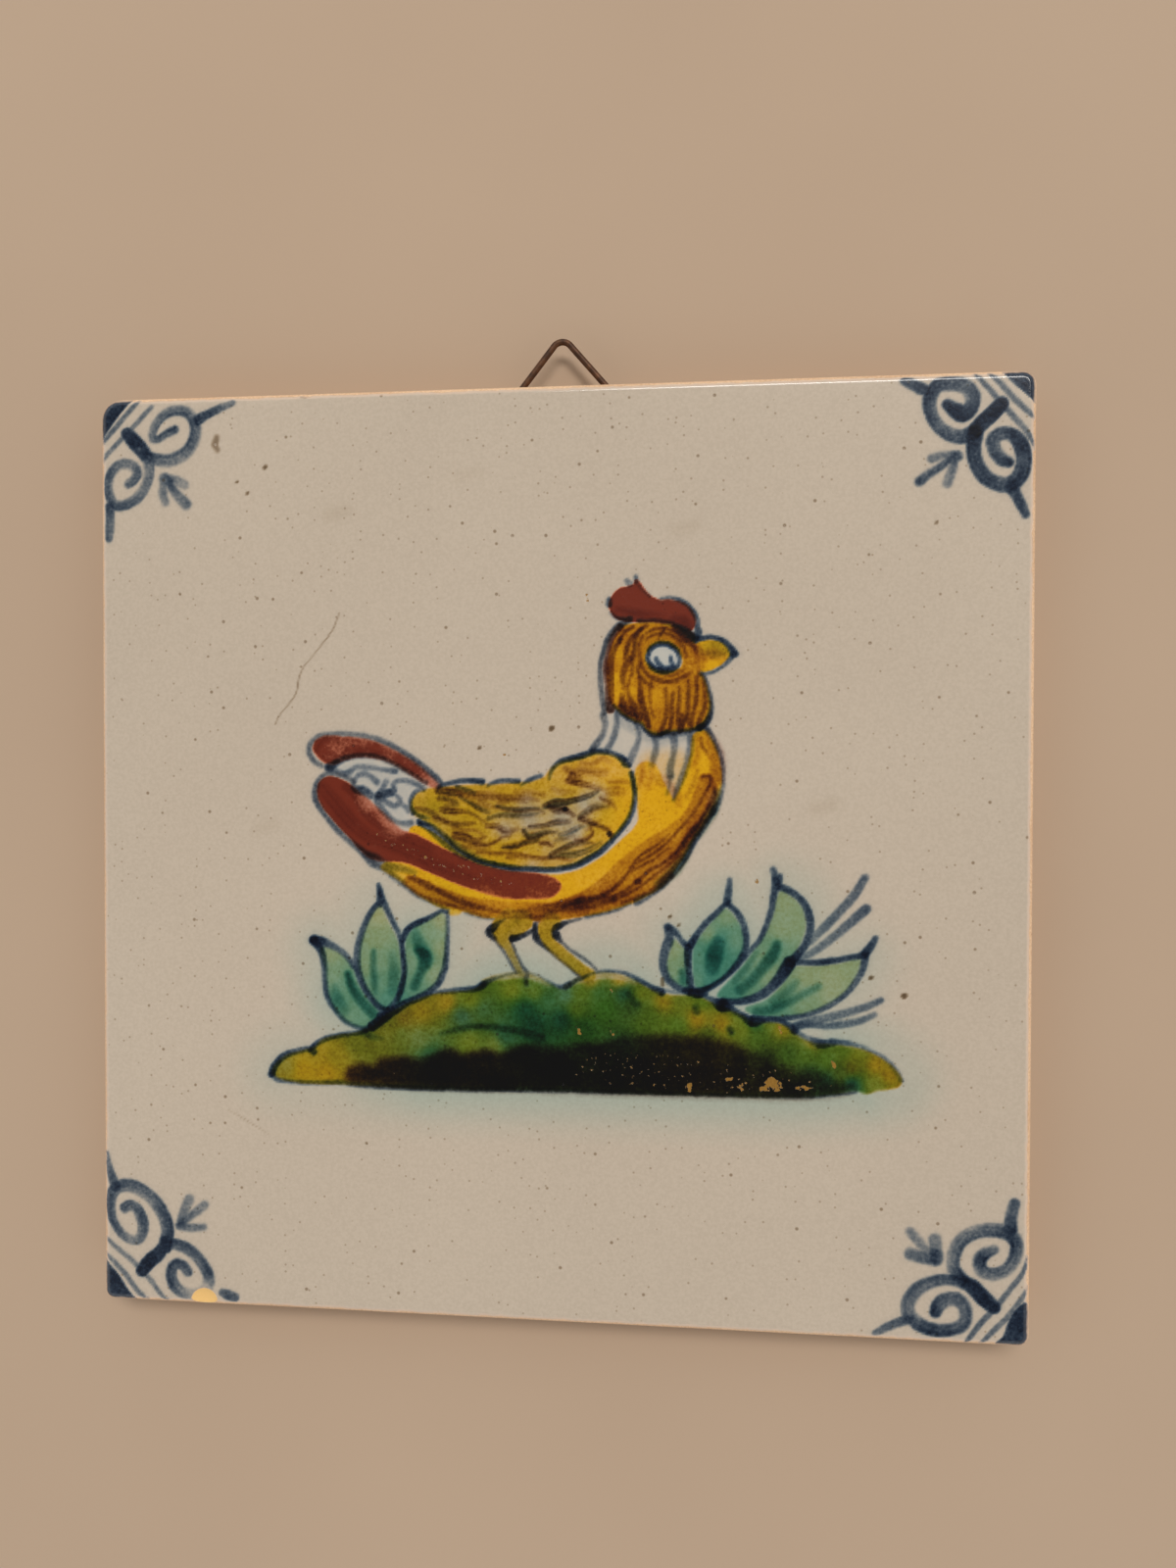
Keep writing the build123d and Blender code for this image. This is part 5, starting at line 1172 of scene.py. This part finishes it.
# %% [markdown]
# ## Waves, a flake and pits
#
# Glaze is never quite flat: it sank a few hundredths of a millimetre here and
# there, which is what bends a reflection. Near the lower left corner a flake
# has burst off. It left the dish of a ball, with the ripples of a shell in it.
# Nothing is pushed outwards, so the tile keeps its measured size.

# %% Waves, a flake and pits
flake_depth, ball_radius = 0.55, 4.284  # the flake is as if a ball had scooped it out
ball = Vector((*flake_middle, thickness + ball_radius - flake_depth))
pits = ((-47.4, 58.3, 0.7, 0.16), (-47.3, 57.4, 0.5, 0.1), (28.5, -3.1, 0.5, 0.08), (5.3, 35.8, 0.5, 0.1),
        (0.4, 17.7, 0.35, 0.06), (48.2, -18.2, 0.4, 0.06), (-6.1, 14.2, 0.45, 0.08), (-34.2, 64.7, 0.6, 0.25),
        (39.0, -27.6, 0.4, 0.06))
flaked = {}
for vert in clay.verts:
    if vert.co.z > thickness - roll:
        vert.co.z -= 0.035 * (0.5 + 0.5 * noise.noise(vert.co / 17.0)) + 0.01 * abs(noise.noise(vert.co / 4.0))
        for x, y, reach, depth in pits:
            away = (vert.co.xy - Vector((x, y))).length
            if away < reach:
                vert.co.z -= depth * (1 - (away / reach) ** 2) ** 1.5
    elif vert.co.z > 0.01 and abs(vert.co.z - wire_level) > 1.1:
        dent = 0.06 + 0.06 * noise.noise(vert.co / 3.0) + 0.05 * noise.noise(vert.co / 11.0)
        vert.co.xy -= outwards(vert.co) * max(0.0, dent)
    off = vert.co.xy - ball.xy
    if off.length < ball_radius * 0.9 and vert.co.z > thickness - 2.0:
        dish = ball.z - (ball_radius**2 - off.length_squared) ** 0.5
        if dish < vert.co.z:
            ripple = 0.02 * sin(off.length * 9.0) * min(1.0, (vert.co.z - dish) / 0.2)
            flaked[vert.index] = vert.co.z - dish
            vert.co.z = dish - abs(ripple)
clay.verts.index_update()
print("points in the flake:", len(flaked), "and the deepest is", round(max(flaked.values()), 2), "mm down")

# %% [markdown]
# ## Laying the paint
#
# Now every touch is asked, in the order of painting, how much pigment it leaves
# on each point of the glaze. The sums are kept on the points as attributes, one
# for each pigment, which the material reads. A brush doesn't leave a ruler's
# edge, so the places wander a little before the touches are asked. In the kiln
# copper also creeps far into the glaze beside it, the more the thicker it lay,
# which leaves a pale blue-green breath below the mound and round the leaves.

# %% Lay the paint on the points
clay.verts.ensure_lookup_table()
points = np.array([vert.co for vert in clay.verts])
noise.seed_set(1)  # or the clock would pick another wander each time
wander = np.array([
    noise.noise_vector(vert.co / 0.9) * 0.06 + noise.noise_vector(vert.co / 3.1) * 0.07 for vert in clay.verts])
on_glaze = np.flatnonzero(points[:, 2] > thickness - roll * 1.2)
places = (points + wander)[on_glaze, :2]

copper_creep = 9.0  # how far the copper's breath goes, in mm
pigments = [blue, yellow, ochre, copper, manganese, red, white, grit, rub, "vapour"]
laid = {pigment: np.zeros(len(on_glaze)) for pigment in pigments}
for mark in marks:
    pigment = mark["pigment"]
    for some in in_parts(close_to(mark, places, max(1.0, mark["soft"]))):
        left = pigment_left(mark, places[some])
        if pigment == "bare glaze":
            for lifted in pigments[:7]:
                laid[lifted][some] *= 1 - np.clip(left, 0, 1)
        elif pigment in (blue, yellow, white, red, grit, rub):
            below = laid[pigment][some]
            laid[pigment][some] = np.maximum(below, left) + 0.25 * np.minimum(below, left)
        else:
            laid[pigment][some] += left
    if mark["kind"] == "wash" and pigment == copper:
        for some in in_parts(close_to(mark, places, copper_creep)):
            fading = smooth_step(1 - nearest(mark, places[some])[0] / copper_creep) ** 1.5
            breath = fading * np.clip(pooled(mark, places[some]), 0, 1)
            laid["vapour"][some] = np.maximum(laid["vapour"][some], breath)

tile_mesh = bpy.data.meshes.new("painted_tile")
clay.to_mesh(tile_mesh)
tile_mesh.transform(Matrix.Scale(MM, 4))
for pigment in pigments:
    values = np.zeros(len(points))
    values[on_glaze] = laid[pigment]
    tile_mesh.attributes.new(pigment, "FLOAT", "POINT").data.foreach_set("value", values)
# All that lies below the roll counts as beyond the rim, also the back and the holes.
rim_out = [max(beyond_flat(vert.co), thickness - roll - vert.co.z) for vert in clay.verts]
tile_mesh.attributes.new("rim", "FLOAT", "POINT").data.foreach_set("value", rim_out)
depths = np.zeros(len(points))
depths[list(flaked)] = list(flaked.values())
tile_mesh.attributes.new("flake", "FLOAT", "POINT").data.foreach_set("value", depths)
print({pigment: round(float(values.max()), 1) for pigment, values in laid.items()})

# %% [markdown]
# ## Working out a finish
#
# A material is a small calculation at each point of a surface. Written with
# nodes it soon becomes a net that can't be read. Here a value stands for the
# end of such a calculation, and adding or multiplying values adds the nodes.

# %% Values that can be reckoned with
class Value:
    """The outcome of a node, which can be added, multiplied and compared."""

    def __init__(self, finish, socket):
        self.finish, self.socket = finish, socket

    def math(self, operation, *terms):
        return self.finish.node("ShaderNodeMath", {"operation": operation}, dict(enumerate(terms)))

    def __add__(self, other):
        return self.math("ADD", self, other)

    def __sub__(self, other):
        return self.math("SUBTRACT", self, other)

    def __rsub__(self, other):
        return self.math("SUBTRACT", other, self)

    def __mul__(self, other):
        return self.math("MULTIPLY", self, other)

    def __gt__(self, other):
        return self.math("GREATER_THAN", self, other)

    __radd__, __rmul__ = __add__, __mul__

    def between(self, low, high):
        """0 below low, 1 above high, and smooth in between."""
        settings = {"interpolation_type": "SMOOTHSTEP"}
        return self.finish.node("ShaderNodeMapRange", settings, {"Value": self, "From Min": low, "From Max": high})

    def up_to(self, most):
        return self.math("MINIMUM", self, most)

    def covering(self):
        """How much an opaque layer of this thickness hides, from 0 to 1."""
        return 1 - self.math("EXPONENT", self * -1)


class Finish:
    """A material, or the light of a world, with measures in millimetres of the object's own space."""

    def __init__(self, name, store=bpy.data.materials):
        self.material = store.new(name)
        self.material.use_nodes = True
        self.tree = self.material.node_tree
        self.tree.nodes.clear()
        metres = self.node("ShaderNodeTexCoord", out="Object")
        self.place = self.vector("SCALE", metres, {"Scale": 1 / MM})

    def node(self, kind, settings={}, sockets={}, out=0):
        """Adds a node: its settings first, then the values or links of its sockets."""
        made = self.tree.nodes.new(kind)
        for name, setting in settings.items():
            setattr(made, name, setting)
        for name, value in sockets.items():
            if isinstance(value, Value):
                self.tree.links.new(value.socket, made.inputs[name])
            else:
                made.inputs[name].default_value = value
        return Value(self, made.outputs[out]) if made.outputs else None

    def vector(self, operation, first, others):
        return self.node("ShaderNodeVectorMath", {"operation": operation}, {0: first, **others})

    def mix(self, first, second, share):
        """A colour between two others."""
        first, second = ((*c, 1) if isinstance(c, tuple) else c for c in (first, second))
        return self.node("ShaderNodeMix", {"data_type": "RGBA"}, {0: share, 6: first, 7: second}, out=2)

    def laid(self, name):
        return self.node("ShaderNodeAttribute", {"attribute_name": name}, out="Fac")

    def noise(self, size, detail=2.0, stretch=(1, 1, 1), shift=0.0):
        """A cloudy value from 0 to 1, whose lumps are about so many millimetres across."""
        place = self.vector("MULTIPLY_ADD", self.place, {1: stretch, 2: (shift, shift, shift)})
        return self.node("ShaderNodeTexNoise", {}, {"Vector": place, "Scale": 0.7 / size, "Detail": detail})

    def dots(self, apart, size, share):
        """Small round spots about so far apart, of which only a share is there."""
        sockets = {"Vector": self.vector("MULTIPLY", self.place, {1: (1, 1, 0.4)}), "Scale": 1 / apart}
        spots = self.node("ShaderNodeTexVoronoi", {}, sockets, out="Distance")
        which = self.node("ShaderNodeTexVoronoi", {}, sockets, out="Color")
        here = self.node("ShaderNodeSeparateColor", {}, {0: which}) > 1 - share
        return (1 - spots.between(0.3 * size / apart, 0.7 * size / apart)) * here

    def surface(self, **sockets):
        """Ends the calculation in a shader."""
        shader = self.node("ShaderNodeBsdfPrincipled", {}, {name.replace("_", " "): v for name, v in sockets.items()})
        self.node("ShaderNodeOutputMaterial", {}, {"Surface": shader})
        return self.material


print("the reckoning of finishes is ready")

# %% [markdown]
# ## Glaze, paint and bare clay
#
# Opaque pigments hide what is below them more and more as they get thicker.
# Stains take a share of the light with each coat, so two coats are darker than
# one and blue over yellow turns green. For a stain the logarithm of that share
# is what adds up, so the coats are summed first and turned into light at the
# end. All of them settle in grains and clouds, and that is what keeps a fired
# colour from looking printed.

# %% Glaze, paint and bare clay
def paint(red, green, blue):
    """A colour as it is picked on a screen, from 0 to 255, for a socket."""
    return tuple((c / 3294.6) if c < 11 else ((c / 255 + 0.055) / 1.055) ** 2.4 for c in (red, green, blue))


glaze = Finish("painted_tin_glaze")
grain, cloud, haze = glaze.noise(0.3, 3.0), glaze.noise(2.2, 3.0), glaze.noise(30.0, 2.0)
settled = grain * 1.2 + cloud * 1.1 - 0.15
coats = {pigment: glaze.laid(pigment) * settled for pigment in (blue, yellow, ochre, copper, manganese, red, white)}
coats[copper] = glaze.laid(copper) * (cloud * 0.4 + grain * 0.4 + 0.6)

colour = glaze.mix(paint(198, 183, 164), paint(182, 167, 149), haze * 0.6 + grain.between(0.3, 0.7) * 0.4)
colour = glaze.mix(colour, paint(186, 184, 175), coats[white].covering())
egg_yellow = glaze.mix(paint(222, 168, 14), paint(198, 144, 10), cloud * 0.5 + grain * 0.5)
colour = glaze.mix(colour, egg_yellow, (coats[yellow] * 2.4).covering())
iron_red = glaze.mix(paint(178, 88, 54), paint(108, 38, 20), coats[red].between(0.3, 2.1))
colour = glaze.mix(colour, iron_red, (coats[red] * 2.2).covering())

kept_light = {  # the share of red, green and blue light that one coat lets through
    blue: (0.12, 0.185, 0.30), copper: (0.20, 0.55, 0.50), ochre: (0.68, 0.54, 0.52), manganese: (0.27, 0.17, 0.14),
    grit: (0.4, 0.34, 0.27), "vapour": (0.70, 0.91, 0.95)}
specks = glaze.dots(1.1, 0.3, 0.35) * 0.4 + glaze.dots(2.3, 0.45, 0.3) * 0.7
coats[grit] = glaze.laid(grit) + specks * (1 - coats[white].up_to(1.0))
coats["vapour"] = glaze.laid("vapour")
coats[ochre] += coats[yellow].up_to(1.0) * grain.between(0.45, 0.75) * 0.35
taken = None
for stain, shares in kept_light.items():
    coat = glaze.vector("SCALE", tuple(-log(share) for share in shares), {"Scale": coats[stain]})
    taken = coat if taken is None else glaze.vector("ADD", taken, {1: coat})
passed = {axis: (0 - glaze.node("ShaderNodeSeparateXYZ", {}, {0: taken}, out=axis)) for axis in "XYZ"}
passed = glaze.node("ShaderNodeCombineXYZ", {}, {axis: part.math("EXPONENT", part) for axis, part in passed.items()})
colour = glaze.vector("MULTIPLY", colour, {1: passed})

rim, flake = glaze.laid("rim"), glaze.laid("flake")
rubbed = (glaze.laid(rub) * glaze.noise(0.4, 4.0)).between(0.37, 0.42)
worn_edge = rim + glaze.noise(1.1, 3.0) * 0.5 - coats[blue].up_to(1.0) * 0.4
thin_glaze = worn_edge.between(0.35, 0.7)
bare = (worn_edge.between(0.74, 0.86) + flake.between(0.0, 0.04)).up_to(1.0)
clay_grain = glaze.noise(0.25, 4.0)
lighter_clay = clay_grain.between(0.35, 0.65) * 0.6 + glaze.noise(7.0, 3.0).between(0.35, 0.65) * 0.4
clay_colour = glaze.mix(paint(202, 164, 128), paint(228, 194, 158), lighter_clay)
clay_colour = glaze.mix(clay_colour, paint(172, 134, 104), glaze.dots(1.3, 0.3, 0.2) * 0.7)
clay_colour = glaze.mix(clay_colour, paint(236, 192, 120), flake.between(0.02, 0.1))
colour = glaze.mix(colour, paint(210, 182, 158), thin_glaze * 0.75)
colour = glaze.mix(colour, glaze.mix(paint(120, 84, 26), paint(170, 126, 52), clay_grain), rubbed * 0.85)
colour = glaze.mix(colour, clay_colour, bare)

thick = coats[manganese] * 0.02 + coats[red] * 0.02 + coats[ochre] * 0.01
shine = 0.13 + thick.up_to(0.08) + rubbed * 0.12
roughness = shine + bare * (0.85 - shine)
height = glaze.noise(1.6, 2.0) * 6e-6 + coats[red] * 5e-6 + coats[manganese] * 4e-6
height = height + coats[yellow] * 3e-6 + coats[blue] * 2e-6
height = height - glaze.dots(2.3, 0.2, 0.25) * 2e-5 - rubbed * 3e-5
height = height + bare * (clay_grain * 5e-5 + glaze.noise(1.0, 2.0, stretch=(0.15, 0.15, 1.0)) * 6e-5)
bump = glaze.node("ShaderNodeBump", {}, {"Strength": 1.0, "Distance": 1.0, "Height": height})
tile_mesh.materials.append(glaze.surface(Base_Color=colour, Roughness=roughness, Normal=bump, IOR=1.52))
print(len(glaze.tree.nodes), "nodes in the glaze")

# %% [markdown]
# ## The finished tile
#
# The piece stands for the plain solid of the frame. Faces that meet gently are
# shaded as one, and those at the chamfer and the holes keep their edge.

# %% The finished tile
painted_tile = bpy.data.objects.new("painted_tile", tile_mesh)
bpy.context.scene.collection.objects.link(painted_tile)
for polygon in tile_mesh.polygons:
    polygon.use_smooth = True
tile_mesh.set_sharp_from_angle(angle=radians(32))
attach(painted_tile, "root")
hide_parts("tile")
print(len(tile_mesh.vertices), "points,", len(tile_mesh.polygons), "faces")

# %% [markdown]
# ## The wire
#
# The loop is plain wire that browned with age. Its solid has the right shape,
# so it keeps that and only gets a finish: a metal whose dark skin is rubbed
# through to the paler metal along its length.

# %% The wire
browned = Finish("browned_wire")
skin = browned.noise(0.8, 4.0)
rubbed_through = browned.noise(2.5, 3.0, shift=7.0).between(0.55, 0.75)
wire_colour = browned.mix(paint(58, 36, 22), paint(96, 62, 38), skin.between(0.3, 0.7))
wire_colour = browned.mix(wire_colour, paint(150, 108, 70), rubbed_through * 0.5)
wire_bump = browned.node("ShaderNodeBump", {}, {"Strength": 1.0, "Distance": 1.0, "Height": skin * 2e-5})
wire_finish = browned.surface(
    Base_Color=wire_colour, Roughness=0.5 - rubbed_through * 0.15, Metallic=0.55 + rubbed_through * 0.3,
    Normal=wire_bump)
wire = frame["nodes"]["hanging_wire"]
wire.data.materials.clear()
wire.data.materials.append(wire_finish)
print("the wire is", round(wire.dimensions.x / MM, 1), "mm wide with its legs")

# %% [markdown]
# ## The place to look from
#
# The tile lies on a pale floor, glaze up, and the camera looks down on it, a
# little from the right and from above the middle. Its lens is wide and near, so
# the far side of the tile looks smaller, as it does to someone holding a phone.

# %% The camera
lens = bpy.data.cameras.new("camera")
lens.lens, lens.sensor_width = 27.0, 36.0
lens.clip_start = 0.005
turned = Matrix.Rotation(-0.0038, 3, "Z") @ Matrix.Rotation(-0.1069, 3, "Y") @ Matrix.Rotation(0.0162, 3, "X")
camera = bpy.data.objects.new("camera", lens)
camera.matrix_world = Matrix.Translation(Vector((22.8, 12.7, 168.3)) * MM) @ turned.transposed().to_4x4()
bpy.context.scene.collection.objects.link(camera)
bpy.context.scene.camera = camera
print("the camera is", round(camera.location.z * 1000), "mm above the floor")

# %% [markdown]
# ## The floor and the light
#
# The floor is one large pale sheet. The world gives an even, soft light from
# all sides, and is dim overhead, where whoever looks down on the tile would
# stand: flat glaze mirrors that place, and a bright sky there would lay a grey
# veil over the black and the blue. A lamp high beyond the top edge puts a line
# of light on the rolled glaze and a short shadow below the tile.

# %% The floor and the light
floor_bm = bmesh.new()
bmesh.ops.create_grid(floor_bm, x_segments=8, y_segments=8, size=1.5)
floor_mesh = bpy.data.meshes.new("floor")
floor_bm.to_mesh(floor_mesh)
floor_mesh.transform(Matrix.Translation((0, 0, -0.1 * MM)))  # so that it shares no plane with the back
floor = bpy.data.objects.new("floor", floor_mesh)
bpy.context.scene.collection.objects.link(floor)
paper = Finish("pale_paper")
paper_colour = paper.mix(paint(186, 162, 138), paint(175, 151, 128), paper.noise(60.0, 3.0))
floor_mesh.materials.append(paper.surface(Base_Color=paper_colour, Roughness=0.9))

room = Finish("room", bpy.data.worlds)
way_up = room.node("ShaderNodeSeparateXYZ", {}, {0: room.node("ShaderNodeTexCoord", out="Generated")}, out="Z")
strength = 0.88 - way_up.between(0.60, 0.88) * 0.73
daylight = room.node("ShaderNodeBackground", {}, {"Color": (1.0, 0.985, 0.97, 1), "Strength": strength})
room.node("ShaderNodeOutputWorld", {}, {"Surface": daylight})
bpy.context.scene.world = room.material
bpy.context.scene.view_settings.view_transform = "Standard"

lamp_data = bpy.data.lights.new("window", "AREA")
lamp_data.shape, lamp_data.size, lamp_data.size_y = "RECTANGLE", 2.0, 0.8
lamp_data.energy = 71.0
lamp_data.color = (1.0, 0.97, 0.93)
lamp = bpy.data.objects.new("window", lamp_data)
lamp.location = (0.6, 1.75, 3.0)
lamp.rotation_euler = (-lamp.location).to_track_quat("-Z", "Y").to_euler()
bpy.context.scene.collection.objects.link(lamp)
print("the floor and the light are set")
